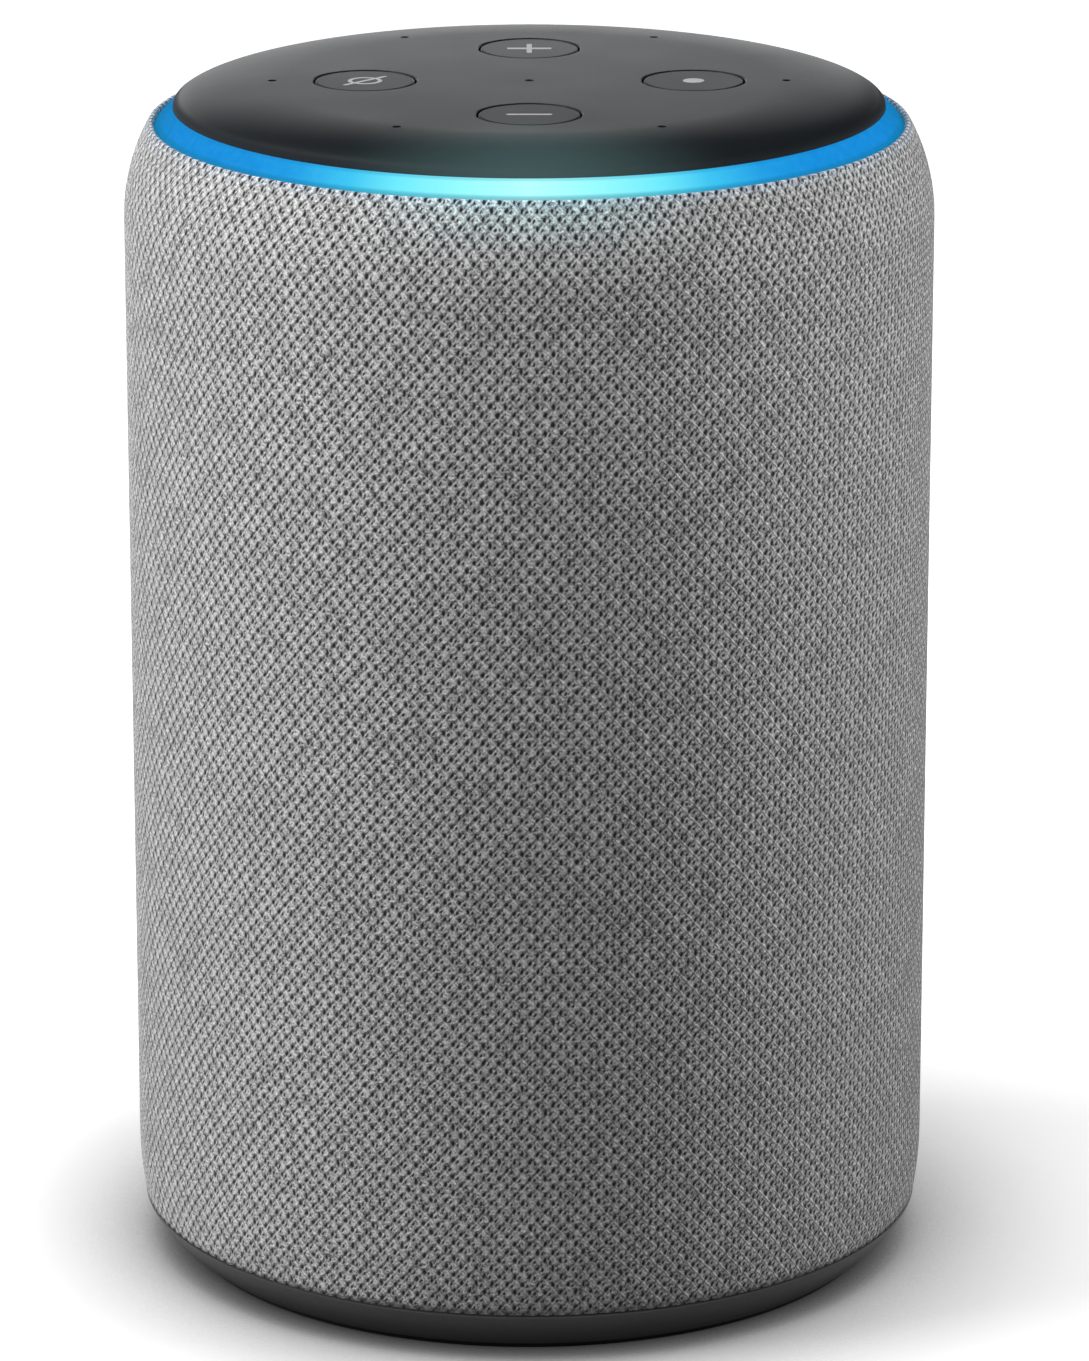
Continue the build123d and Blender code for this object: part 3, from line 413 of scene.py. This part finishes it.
def grey(level):
    return (level, level, level, 1.0)


def moulding(name, colour, roughness, grain_scale=2500.0, grain_depth=0.4, contrast=0.15):
    material, graph, surface = shader(name)
    look = graph.use(
        moulded_grain,
        Grain_Scale=grain_scale,
        Grain_Depth=grain_depth,
        Colour=colour,
        Contrast=contrast,
        Roughness=roughness,
    )
    finish_with(graph, surface, look["Colour"], look["Roughness"], look["Normal"])
    return material


def metal(name, colour, roughness):
    material, graph, surface = shader(name, Metallic=1.0)
    look = graph.use(metal_grain, Colour=colour, Roughness=roughness)
    finish_with(graph, surface, look["Colour"], look["Roughness"], look["Normal"])
    return material


def length_up_sleeve(graph, height):
    """Length along the sleeve's section from the hem, for a height on it."""

    def arc(rise, radius):
        return graph.times(graph.math("ARCSINE", graph.over(rise, radius)), radius)

    above_hem = graph.minus(height, hem_start)
    below = graph.math("MINIMUM", above_hem, 0.0)
    wall = graph.math("MINIMUM", graph.larger(above_hem, 0.0), wall_length)
    above = graph.larger(graph.minus(height, shoulder_start), 0.0)
    arcs = graph.plus(arc(below, hem_radius), arc(above, shoulder_radius))
    return graph.plus(arcs, graph.plus(wall, hem_length))


def knit_material():
    """Melange yarn in an open mesh: raised strands, slanted openings, tufts that differ in shade; the
    tufts, lobes, floss and strands are painted lighter as highlights, the creases and the fold darker as
    painted shade, and the top rows carry a painted glow of the ring's light.
    """
    material, graph, surface = shader(
        "melange_knit",
        Sheen_Weight=0.35,
        Sheen_Roughness=0.5,
        Specular_IOR_Level=0.2,
    )
    place = graph.place()
    x, y, z = graph.split(place)
    around = graph.times(graph.turn(x, y), openings_round / (2 * pi))
    along = graph.over(length_up_sleeve(graph, z), 2 * row_pitch)

    # The yarn wanders a little, and each repeat has chances of its own
    around_yarn = graph.add_swing(around, graph.noise(place, 900.0), 0.20)
    along_yarn = graph.add_swing(along, graph.noise(place, 1100.0), 0.16)
    cell = graph.use(knit_cell, Around=around_yarn, Along=along_yarn)
    rising_row = graph.math("FLOOR", graph.minus(around, along))
    falling_row = graph.math("FLOOR", graph.plus(around, along))
    chance = graph.put("ShaderNodeTexWhiteNoise", noise_dimensions="2D")
    graph.feed(chance.inputs["Vector"], graph.join(rising_row, falling_row, 0.0))
    wide, tall, leaning = graph.split(chance.outputs["Color"])

    def mark(across, up, half_width, half_height, lean, softness=0.6):
        return graph.use(
            stitch_mark,
            Around=around_yarn,
            Along=along_yarn,
            Middle_Across=across,
            Middle_Up=up,
            Half_Width=half_width,
            Half_Height=half_height,
            Lean=lean,
            Softness=softness,
        )["Mark"]

    # Each repeat, in shares of its width and height from the middle of its long opening
    gap = mark(
        across=0.0,
        up=0.0,
        half_width=graph.add_share(0.092, wide, 0.06),
        half_height=graph.add_share(0.155, tall, 0.08),
        lean=graph.times(leaning, 0.6),
        softness=0.55,
    )
    pinhole = mark(across=0.32, up=-0.08, half_width=0.080, half_height=0.105, lean=0.3)
    slit = mark(across=0.26, up=0.19, half_width=0.060, half_height=0.12, lean=0.8)
    # The tuft, lobe and floss marks are painted highlights where the raised yarn catches the light; the
    # tuft and lobe are also raised in the relief
    tuft_with_highlight = mark(across=-0.34, up=0.08, half_width=0.085, half_height=0.17, lean=-0.8, softness=0.7)
    lobe_with_highlight = mark(across=-0.38, up=-0.16, half_width=0.12, half_height=0.075, lean=0.4, softness=0.7)
    floss_highlight = mark(across=0.19, up=-0.03, half_width=0.045, half_height=0.11, lean=0.7, softness=0.7)
    # The crease and the fold are painted shade along the grooves between the strands; the crease is also
    # sunk in the relief
    crease_with_shade = graph.step(cell["Rising Strand"], 0.88, 1.0)
    fold_shade = graph.step(cell["Falling Strand"], 0.90, 1.0)

    # One raised strand falls to the right between the openings
    strand_place = graph.minus(graph.plus(around_yarn, along_yarn), 0.25)
    strand = graph.step(graph.ripple(strand_place), 0.05, 0.42, 1.0, 0.0)

    # Three threads lie side by side in each strand, rising in some repeats and falling in others
    thread_waves = 3 * 2 * pi
    falling = graph.math("SINE", graph.times(graph.plus(around, along), thread_waves))
    rising = graph.math("SINE", graph.times(graph.minus(around, along), thread_waves))
    falls = graph.math("GREATER_THAN", tall, 0.5)
    rises = graph.minus(1.0, falls)
    thread = graph.plus(graph.times(falling, falls), graph.times(rising, rises))

    # Shade: along the fibres, repeat by repeat, thread by thread and over wide clouds, then painted
    # highlights on the tufts, lobes, strand and floss
    fibre = graph.noise(place, 3100.0, 3.0, 0.7)
    shade = graph.add_swing(0.425, fibre, 2.6)
    shade = graph.add_swing(shade, wide, 0.20)
    shade = graph.add_share(shade, thread, 0.06)
    shade = graph.add_swing(shade, graph.noise(place, 260.0), 0.15)
    for part, share in ((tuft_with_highlight, 0.34), (lobe_with_highlight, 0.34), (strand, 0.05)):
        shade = graph.add_share(shade, part, share)
    shade = graph.add_share(shade, floss_highlight, 0.12, clamp=True)
    yarn = graph.mix(shade, (0.10, 0.10, 0.105, 1.0), (0.88, 0.88, 0.875, 1.0))

    # Openings show the black grille, and the crease and the fold add painted shade; where the raised
    # strand crosses them they are half as dark
    dark = gap
    for part, share in ((pinhole, 0.95), (slit, 0.72), (crease_with_shade, 0.22)):
        dark = graph.larger(dark, graph.times(part, share))
    dark = graph.times(dark, graph.add_share(1.0, strand, -0.45))
    dark = graph.larger(dark, graph.times(fold_shade, 0.15))
    colour = graph.mix(dark, yarn, (0.014, 0.014, 0.016, 1.0))

    height = graph.add_share(graph.times(fibre, 1.2), dark, -1.0)
    for part, share in ((tuft_with_highlight, 0.5), (lobe_with_highlight, 0.3), (strand, 0.75), (crease_with_shade, -0.30), (thread, 0.12)):
        height = graph.add_share(height, part, share)
    roughness = graph.add_share(0.75, fibre, 0.2)
    finish_with(graph, surface, colour, roughness, graph.bump(height, 0.6, 0.16 * MM))

    # Painted glow of the lit ring's light on the first rows below it, cyan at the front and blue along
    # the edge
    shine = graph.use(
        ring_shine,
        Core_Angle=4.0,
        Fade_Angle=30.0,
        Low_Height=mouth_height - 9 * MM,
        High_Height=mouth_height + 1 * MM,
    )
    painted_glow_share = graph.times(shine["Front"], graph.times(shine["Up"], shine["Up"]))
    painted_ring_glow = graph.mix(graph.times(painted_glow_share, 0.5), grey(0.0), (0.10, 0.55, 0.60, 1.0))
    painted_edge_glow = graph.step(z, mouth_height - 1.8 * MM, mouth_height + 0.4 * MM)
    painted_ring_glow = graph.mix(graph.times(painted_edge_glow, painted_edge_glow), painted_ring_glow, (0.01, 0.12, 0.25, 1.0), "ADD")
    glow_with(graph, surface, graph.mix(1.0, painted_ring_glow, colour, "MULTIPLY"))
    return material


def ring_material():
    """Clear diffuser lit from below: azure round the sides, cyan-white at the front."""
    material, graph, surface = shader("ring_diffuser", Specular_IOR_Level=0.0)
    shine = graph.use(
        ring_shine,
        Inner_Radius=ring_inner,
        Outer_Radius=ring_outer,
        Low_Height=mouth_height,
        High_Height=ring_high.z,
    )
    ramp_angle = 100.0  # degrees from the front at the ramp's end
    colour = graph.ramp(
        graph.over(shine["Turn"], ramp_angle),
        (0.00, (0.49, 1.10, 1.03, 1.0)),
        (0.10, (0.32, 0.97, 0.96, 1.0)),
        (0.20, (0.16, 0.82, 0.94, 1.0)),
        (0.28, (0.045, 0.54, 0.86, 1.0)),
        (0.38, (0.010, 0.31, 0.74, 1.0)),
        (0.48, (0.003, 0.245, 0.69, 1.0)),
        (0.72, (0.002, 0.22, 0.65, 1.0)),
        (0.90, (0.002, 0.17, 0.44, 1.0)),
    )
    grain = graph.noise(graph.place(), 900.0, 3.0)
    colour = graph.mix(graph.step(grain, 0.25, 0.75, 0.0, 0.06), colour, (0.05, 0.55, 1.0, 1.0))
    outer_edge = graph.step(shine["Across"], 0.80, 1.0, 0.0, 0.55)
    colour = graph.mix(outer_edge, colour, (0.002, 0.16, 0.30, 1.0))
    inner_edge = graph.step(shine["Across"], 0.0, 0.12, 0.35, 0.0)
    colour = graph.mix(inner_edge, colour, (0.002, 0.20, 0.50, 1.0))
    unlit = graph.mix(grain, (0.004, 0.02, 0.03, 1.0), (0.01, 0.05, 0.07, 1.0))
    graph.feed(surface.inputs["Base Color"], unlit)
    graph.feed(surface.inputs["Roughness"], graph.add_share(0.40, grain, 0.15))
    glow_with(graph, surface, colour)
    return material


def plate_material(name, roughness):
    """Soft-touch charcoal with fine grain; a painted glow of the ring's light on its front rim."""
    material, graph, surface = shader(
        name,
        Specular_IOR_Level=0.34,
        Specular_Tint=(0.80, 0.93, 1.0, 1.0),
    )
    look = graph.use(
        moulded_grain,
        Grain_Scale=3500.0,
        Grain_Depth=0.25,
        Colour=(0.011, 0.0135, 0.016, 1.0),
        Contrast=0.2,
        Roughness=roughness,
        Unevenness=0.06,
    )
    rim_start = 42.4 * MM
    rim_end = 43.3 * MM
    rim = graph.use(ring_shine, Inner_Radius=rim_start, Outer_Radius=rim_end)["Across"]
    roughness_at_rim = graph.add_share(look["Roughness"], rim, 0.38)
    finish_with(graph, surface, look["Colour"], roughness_at_rim, look["Normal"])
    # Painted glow: the ring's teal light, painted as emission towards the front rim
    shine = graph.use(
        ring_shine,
        Core_Angle=0.0,
        Fade_Angle=36.0,
        Inner_Radius=22 * MM,
        Outer_Radius=44 * MM,
    )
    painted_glow_share = graph.times(shine["Front"], shine["Across"])
    glow_with(graph, surface, graph.mix(painted_glow_share, grey(0.0), (0.040, 0.076, 0.075, 1.0)))
    return material


def laminate_material():
    """Green solder mask over faint copper lines."""
    material, graph, surface = shader("board_laminate", Coat_Weight=0.3)
    place = graph.place()
    tracks = graph.put("ShaderNodeTexBrick")
    graph.feed(tracks.inputs["Vector"], place)
    tracks.inputs["Scale"].default_value = 220.0
    tracks.inputs["Mortar Size"].default_value = 0.012
    lines = graph.step(tracks.outputs["Fac"], 0.2, 0.8)
    mask = graph.mix(lines, (0.012, 0.075, 0.035, 1.0), (0.03, 0.13, 0.06, 1.0))
    speck = graph.noise(place, 1500.0)
    colour = graph.mix(graph.times(speck, 0.15), mask, grey(0.0))
    roughness = graph.add_share(0.28, speck, 0.12)
    finish_with(graph, surface, colour, roughness, graph.bump(lines, 0.3, 0.02 * MM))
    return material


def paper_material():
    """Pressed pulp with long fibres."""
    material, graph, surface = shader("cone_pulp")
    place = graph.place()
    fibres = graph.noise(graph.stretch(place, 1.0, 0.35, 1.0), 1600.0, 5.0, 0.7)
    cloud = graph.noise(place, 300.0, 3.0)
    blend = graph.add_share(graph.times(fibres, 0.5), cloud, 0.5)
    colour = graph.mix(blend, grey(0.012), grey(0.06))
    roughness = graph.add_share(0.7, fibres, 0.2)
    finish_with(graph, surface, colour, roughness, graph.bump(fibres, 0.5, 0.06 * MM))
    return material


def cloth_material(name, thread, gap, pitch, sheen):
    """Plain-woven cloth dipped in resin, or coated silk."""
    material, graph, surface = shader(name, Sheen_Weight=sheen)
    x, y, _ = graph.split(graph.place())
    weave = graph.times(graph.ripple(x, pitch), graph.ripple(y, pitch))
    colour = graph.mix(weave, gap, thread)
    roughness = graph.add_share(0.8, weave, -0.2)
    finish_with(graph, surface, colour, roughness, graph.bump(weave, 0.5, 0.08 * MM))
    return material


def winding_material():
    """Enamelled copper wire wound turn on turn over the coil's former."""
    material, graph, surface = shader("coil_winding", Metallic=0.9)
    wire = 0.2 * MM
    place = graph.place()
    turns = graph.ripple(graph.split(place)[2], wire)
    colour = graph.mix(turns, (0.22, 0.08, 0.03, 1.0), (0.72, 0.36, 0.18, 1.0))
    roughness = graph.add_share(0.25, graph.noise(place, 800.0), 0.2)
    finish_with(graph, surface, colour, roughness, graph.bump(turns, 0.6, 0.06 * MM))
    return material


def cable_material():
    """Flat cable: parallel conductors under a clear film."""
    material, graph, surface = shader("cable_film", Coat_Weight=0.4)
    conductor_pitch = 0.5 * MM
    x, y, _ = graph.split(graph.place())
    wires = graph.step(graph.ripple(graph.plus(x, y), conductor_pitch), 0.35, 0.6)
    colour = graph.mix(wires, (0.55, 0.56, 0.56, 1.0), (0.75, 0.74, 0.70, 1.0))
    roughness = graph.add_share(0.3, wires, 0.1)
    finish_with(graph, surface, colour, roughness, graph.bump(wires, 0.3, 0.05 * MM))
    return material


spider_resin = (0.50, 0.30, 0.10, 1.0)
spider_gap = (0.12, 0.06, 0.02, 1.0)

# One finish for each of the record's material slots, apart from the knit
finishes = {
    "ring_light": ring_material(),
    "plate_plastic": plate_material("plate_soft_touch", 0.40),
    "button_plastic": plate_material("button_soft_touch", 0.42),
    "base_plastic": moulding("base_satin", (0.028, 0.028, 0.030, 1.0), 0.40, 3000.0),
    "foot_rubber": moulding("foot_rubber", grey(0.02), 0.8, 1500.0, 0.6),
    "grille_plastic": moulding("grille_black", grey(0.012), 0.6),
    "stem_plastic": moulding("stem_natural", (0.62, 0.60, 0.54, 1.0), 0.45),
    "seal_rubber": moulding("seal_foam", grey(0.02), 0.9, 900.0, 1.0, 0.5),
    "board_laminate": laminate_material(),
    "chip_plastic": moulding("chip_black", grey(0.022), 0.5, 2200.0),
    "led_plastic": moulding("white_package", (0.72, 0.72, 0.66, 1.0), 0.35),
    "can_steel": metal("tin_plate", (0.66, 0.66, 0.64, 1.0), 0.30),
    "screw_steel": metal("black_zinc", (0.10, 0.10, 0.11, 1.0), 0.40),
    "spreader_aluminium": metal("plain_aluminium", (0.78, 0.79, 0.80, 1.0), 0.35),
    "pad_silicone": moulding("pad_silicone", (0.35, 0.42, 0.50, 1.0), 0.75, 1200.0, 0.8),
    "cable_film": cable_material(),
    "frame_plastic": moulding("frame_black", grey(0.03), 0.55),
    "enclosure_plastic": moulding("enclosure_glass_filled", grey(0.024), 0.5, 1800.0, 0.7),
    "cone_paper": paper_material(),
    "surround_rubber": moulding("surround_butyl", grey(0.015), 0.55, 1200.0, 0.2),
    "spider_cloth": cloth_material("spider_weave", spider_resin, spider_gap, 0.5 * MM, 0.1),
    "coil_copper": winding_material(),
    "motor_steel": metal("zinc_plate", (0.55, 0.56, 0.57, 1.0), 0.38),
    "magnet_ferrite": moulding("ground_ferrite", grey(0.045), 0.45, 1400.0, 0.5, 0.4),
    "dome_silk": cloth_material("dome_silk", grey(0.045), grey(0.010), 0.25 * MM, 0.3),
    "socket_plastic": moulding("socket_black", grey(0.018), 0.38, 3000.0, 0.2),
    "contact_brass": metal("plain_brass", (0.76, 0.58, 0.28, 1.0), 0.25),
}

for entry in frame["record"]["subparts"]:
    finish = finishes.get(entry["material_slot"])
    if finish is not None:
        frame["nodes"][entry["node"]].material_slots[0].material = finish

# ---------------------------------------------------------------- shapes


def piece_from(mesh, name, material):
    """A new object from a bmesh, with its material."""
    data = bpy.data.meshes.new(name)
    mesh.to_mesh(data)
    mesh.free()
    data.materials.append(material)
    piece = bpy.data.objects.new(name, data)
    bpy.context.scene.collection.objects.link(piece)
    return piece


def bar_outline(centre, length, width, angle=0.0, end_steps=8):
    """A round-ended bar's outline."""
    reach = (length - width) / 2
    outline = []
    for side in (1, -1):
        for step in range(end_steps + 1):
            bend = -pi / 2 + pi * step / end_steps
            along = side * (reach + width / 2 * cos(bend))
            across = side * width / 2 * sin(bend)
            x = centre[0] + along * cos(angle) - across * sin(angle)
            y = centre[1] + along * sin(angle) + across * cos(angle)
            outline.append((x, y))
    return outline


def circle_outline(centre, radius, count=48):
    turns = [2 * pi * k / count for k in range(count)]
    return [(centre[0] + radius * cos(turn), centre[1] + radius * sin(turn)) for turn in turns]


def join_outlines(mesh, first, second):
    """A band of faces between two closed rows of as many points."""
    count = len(first)
    for k in range(count):
        n = (k + 1) % count
        mesh.faces.new((first[k], first[n], second[n], second[k]))


# ---------------------------------------------------------------- knitted sleeve


def section_point(length, inset):
    """Radius and height on the sleeve's section, at a length up from the hem and set in from the skin."""
    if length < hem_length:
        angle = (length - hem_length) / hem_radius
        reach = hem_radius - inset
        return skin_radius - hem_radius + reach * cos(angle), hem_start + reach * sin(angle)
    if length < hem_length + wall_length:
        return skin_radius - inset, hem_start + length - hem_length
    angle = (length - hem_length - wall_length) / shoulder_radius
    reach = shoulder_radius - inset
    middle = skin_radius - shoulder_radius
    return middle + reach * cos(angle), shoulder_start + reach * sin(angle)


def sleeve_section():
    """Radius, height and share of the relief, from the hem over the rolled edge and down inside."""
    roll_steps = 6
    inner_rows = 20
    section = []
    for j in range(row_count + 1):
        section.append((*section_point(j * row_pitch, 0.0), 1.0))
    roll = cloth_thickness / 2
    roll_radius, roll_height = section_point(sleeve_length, roll)
    for step in range(1, roll_steps):
        bend = shoulder_slope + pi * step / roll_steps
        relief = 1.0 - step / roll_steps
        section.append((roll_radius + roll * cos(bend), roll_height + roll * sin(bend), relief))
    for j in range(inner_rows + 1):
        length = sleeve_length * (1 - j / inner_rows)
        section.append((*section_point(length, cloth_thickness), 0.0))
    return section


def knit_sleeve():
    """The sleeve as a closed cloth: tufts and openings outside, a rolled upper edge, plain inside."""
    tuft_rise = 0.05 * MM
    opening_fall = 0.12 * MM
    columns = 2 * openings_round
    section = sleeve_section()
    mesh = bmesh.new()
    rows = []
    for j, (radius, height, relief) in enumerate(section):
        row = []
        for i in range(columns):
            push = relief * (-opening_fall if (i + j) % 2 else tuft_rise)
            turn = 2 * pi * i / columns
            reach = radius + push
            row.append(mesh.verts.new((reach * sin(turn), -reach * cos(turn), height)))
        rows.append(row)
    rows.append(rows[0])
    for j, (_, _, relief) in enumerate(section):
        for i in range(columns):
            k = (i + 1) % columns
            corners = (rows[j][i], rows[j][k], rows[j + 1][k], rows[j + 1][i])
            if relief == 0.0:
                mesh.faces.new(corners)
                continue
            if (i + j) % 2:
                corners = corners[1:] + corners[:1]
            mesh.faces.new(corners[:3])
            mesh.faces.new((corners[2], corners[3], corners[0]))
    for face in mesh.faces:
        face.smooth = True
    return piece_from(mesh, "knit_sleeve", knit_material())


def cut_panel_window(piece):
    """Cuts the round-ended window for the socket panel out of the rear wall."""
    panel_low, panel_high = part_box("port_panel")
    margin = 0.06 * MM
    height = panel_high.z - panel_low.z + 2 * margin
    width = 2 * (panel_high.x + margin)
    centre = (0.0, (panel_high.z + panel_low.z) / 2)
    inside = 0.6 * skin_radius
    outside = 1.2 * skin_radius
    outline = bar_outline(centre, width, height, end_steps=16)
    tool = bmesh.new()
    near = [tool.verts.new((x, inside, z)) for x, z in outline]
    far = [tool.verts.new((x, outside, z)) for x, z in outline]
    tool.faces.new(near)
    tool.faces.new(list(reversed(far)))
    join_outlines(tool, near, far)
    bmesh.ops.recalc_face_normals(tool, faces=tool.faces)
    cutter = piece_from(tool, "window_cutter", piece.data.materials[0])
    cut = piece.modifiers.new("window", "BOOLEAN")
    cut.operation = "DIFFERENCE"
    cut.solver = "EXACT"
    cut.object = cutter
    depsgraph = bpy.context.evaluated_depsgraph_get()
    finished = bpy.data.meshes.new_from_object(piece.evaluated_get(depsgraph))
    piece.modifiers.clear()
    piece.data = finished
    bpy.data.objects.remove(cutter)


sleeve = knit_sleeve()
cut_panel_window(sleeve)
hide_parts("fabric_sleeve")
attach(sleeve, "housing")

# ---------------------------------------------------------------- printed marks

mark_thickness = 0.02 * MM
mark_line = 0.65 * MM
sign_length = 5.5 * MM
dot_radius = 1.3 * MM
crossed_ring_radius = 2.1 * MM
slash_length = 7.4 * MM
slash_angle = radians(47)


def print_solid(mesh, outline, low, high, hole=None):
    """Adds a thin printed shape to a bmesh, with an inner outline of as many points as its hole."""
    bottom = [mesh.verts.new((x, y, low)) for x, y in outline]
    top = [mesh.verts.new((x, y, high)) for x, y in outline]
    join_outlines(mesh, bottom, top)
    if hole is None:
        mesh.faces.new(top)
        mesh.faces.new(list(reversed(bottom)))
        return
    bottom_in = [mesh.verts.new((x, y, low)) for x, y in hole]
    top_in = [mesh.verts.new((x, y, high)) for x, y in hole]
    join_outlines(mesh, top_in, bottom_in)
    join_outlines(mesh, top, top_in)
    join_outlines(mesh, bottom_in, bottom)


def draw_plus(mesh, centre, height):
    half = sign_length / 2
    line = mark_line / 2
    flat = 0.7 * mark_line  # half the thickness of the level bar, which is the stouter one
    corners = [(line, flat), (line, half), (-line, half), (-line, flat), (-half, flat), (-half, -flat)]
    corners += [(-x, -y) for x, y in corners]
    outline = [(centre[0] + x, centre[1] + y) for x, y in corners]
    print_solid(mesh, outline, height, height + mark_thickness)


def draw_minus(mesh, centre, height):
    outline = bar_outline(centre, sign_length, mark_line)
    print_solid(mesh, outline, height, height + mark_thickness)


def draw_dot(mesh, centre, height):
    print_solid(mesh, circle_outline(centre, dot_radius), height, height + mark_thickness)


def draw_crossed_ring(mesh, centre, height):
    line = 0.8 * mark_line
    outer = circle_outline(centre, crossed_ring_radius)
    inner = circle_outline(centre, crossed_ring_radius - line)
    print_solid(mesh, outer, height, height + mark_thickness, inner)
    slash = bar_outline(centre, slash_length, line, slash_angle)
    print_solid(mesh, slash, height, height + 1.3 * mark_thickness)


mark_print = moulding("mark_print", grey(0.52), 0.5, 4000.0, 0.1)
signs = {
    "volume_up": draw_plus,
    "volume_down": draw_minus,
    "action": draw_dot,
    "microphone_off": draw_crossed_ring,
}
for name, draw in signs.items():
    low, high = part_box(f"{name}_button")
    middle = (low + high) / 2
    sign = bmesh.new()
    draw(sign, (middle.x, middle.y), high.z)
    piece = piece_from(sign, f"{name}_mark", mark_print)
    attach(piece, f"{name}_key")

# ---------------------------------------------------------------- floor, light and camera


def mirrored_rays(graph, rays):
    """1 for rays that a shiny or clear surface has sent on."""
    return graph.larger(rays["Is Glossy Ray"], rays["Is Transmission Ray"])


def floor_material():
    """Plain pale floor that shows white to the camera outside the speaker's shadow, which is partly cast
    by the lamps and partly painted.
    """
    material, graph, surface = shader("pale_floor", Roughness=0.7, Specular_IOR_Level=0.1)
    rays = graph.put("ShaderNodeLightPath").outputs
    seen = graph.larger(rays["Is Camera Ray"], mirrored_rays(graph, rays))
    place = graph.place()
    pale = graph.mix(graph.times(graph.noise(place, 3.0), 0.04), grey(0.86), grey(0.82))

    # Painted contact shadow: near the base the floor's colour is darkened, so less of the lamps' light
    # comes back, and so is the floor's own white
    contact = graph.put("ShaderNodeAmbientOcclusion", samples=8)
    contact.inputs["Distance"].default_value = 38 * MM
    openness = contact.outputs["AO"]
    painted_contact_shade = graph.step(openness, 0.25, 0.98)
    painted_contact_shadow = graph.step(openness, -0.05, 1.12)
    thrown_back = grey(0.19)  # what the body gets from the floor is darker than what shows
    colour = graph.mix(seen, thrown_back, graph.shaded(pale, painted_contact_shade))
    graph.feed(surface.inputs["Base Color"], colour)

    # Painted shadow: the floor's own white is dimmed around a middle that leans away from the key lamp
    painted_shadow_middle = (25 * MM, 0.0, 0.0)
    painted_shadow_darkest = 0.44
    distance = graph.put("ShaderNodeVectorMath", operation="DISTANCE")
    graph.feed(distance.inputs[0], place)
    distance.inputs[1].default_value = painted_shadow_middle
    level = graph.step(distance.outputs["Value"], 20 * MM, 280 * MM, painted_shadow_darkest, 1.0)
    lift = graph.put("ShaderNodeEmission")
    graph.feed(lift.inputs["Strength"], graph.times(graph.times(seen, level), painted_contact_shadow))
    both = graph.put("ShaderNodeAddShader")
    graph.feed(both.inputs[0], surface.outputs[0])
    graph.feed(both.inputs[1], lift.outputs[0])
    graph.feed(material.node_tree.nodes["Material Output"].inputs["Surface"], both.outputs[0])
    return material


def lay_floor():
    half = 4.0
    mesh = bmesh.new()
    corners = [(-half, -half), (half, -half), (half, half), (-half, half)]
    mesh.faces.new([mesh.verts.new((x, y, cad_low.z)) for x, y in corners])
    floor = piece_from(mesh, "floor", floor_material())


def soft_lamp(name, place, aim, size, power, mirrored=False, lit=True):
    """A soft lamp turned to a point; only a mirrored one shows in the plate's sheen."""
    lamp = bpy.data.lights.new(name, "AREA")
    lamp.shape = "RECTANGLE"
    lamp.size, lamp.size_y = size
    lamp.energy = power
    holder = bpy.data.objects.new(name, lamp)
    holder.location = place
    holder.rotation_euler = (Vector(aim) - Vector(place)).to_track_quat("-Z", "Y").to_euler()
    holder.visible_camera = False
    holder.visible_glossy = mirrored
    holder.visible_diffuse = lit
    bpy.context.scene.collection.objects.link(holder)


def make_room():
    """White to the camera; mirrored it is white below and dark above, and as light it is faint."""
    world = bpy.data.worlds.new("studio")
    bpy.context.scene.world = world
    world.use_nodes = True
    graph = Graph(world.node_tree)
    rays = graph.put("ShaderNodeLightPath").outputs
    mirrored = mirrored_rays(graph, rays)
    seen = graph.larger(rays["Is Camera Ray"], mirrored)
    up = graph.split(graph.put("ShaderNodeTexCoord").outputs["Generated"])[2]
    wall = graph.step(up, -0.06, 0.24, 1.0, 0.02)
    level = graph.plus(rays["Is Camera Ray"], graph.times(mirrored, wall))
    ambient = graph.times(graph.minus(1.0, seen), 0.02)
    background = world.node_tree.nodes["Background"]
    graph.feed(background.inputs["Strength"], graph.plus(level, ambient))
    background.inputs["Color"].default_value = grey(1.0)


def place_lamps():
    """A large key lamp at the left, small ones at the right and in front, two for the plate's sheen."""
    middle = (0.0, 0.0, top_height / 2)
    shoulder = (0.0, 0.0, 0.13)
    top = (0.0, 0.0, top_height)
    soft_lamp("key_lamp", (-0.84, -0.10, 0.54), middle, size=(0.6, 0.4), power=10.1)
    soft_lamp("side_lamp", (0.36, 0.02, 0.22), shoulder, size=(0.3, 0.2), power=0.98)
    soft_lamp("front_lamp", (0.02, -0.19, 0.31), shoulder, size=(0.24, 0.12), power=0.32)
    soft_lamp(
        "back_lamp",
        (-0.035, 0.11, 0.166),
        top,
        size=(0.20, 0.03),
        power=0.0245,
        mirrored=True,
    )
    soft_lamp(
        "sheen_lamp",
        (-0.55, 0.15, 0.85),
        top,
        size=(0.7, 0.6),
        power=2.0,
        mirrored=True,
        lit=False,
    )


def set_camera():
    """Long lens from the front, looking down on the top plate."""
    height = 0.3156
    distance = 0.8216
    pitch = radians(16.53)
    aside = 1.86 * MM  # of the point that it looks at, to the right of the body's axis
    camera = bpy.data.cameras.new("camera")
    camera.sensor_fit = "VERTICAL"
    camera.sensor_height = 36.0
    camera.lens = 181.46
    camera.clip_start = 0.05
    holder = bpy.data.objects.new("camera", camera)
    holder.location = (0.0, -distance, height)
    aim = Vector((aside, 0.0, height - distance * tan(pitch)))
    holder.rotation_euler = (aim - holder.location).to_track_quat("-Z", "Y").to_euler()
    bpy.context.scene.collection.objects.link(holder)
    bpy.context.scene.camera = holder


lay_floor()
make_room()
place_lamps()
set_camera()
bpy.context.scene.view_settings.view_transform = "Standard"

bpy.context.view_layer.update()
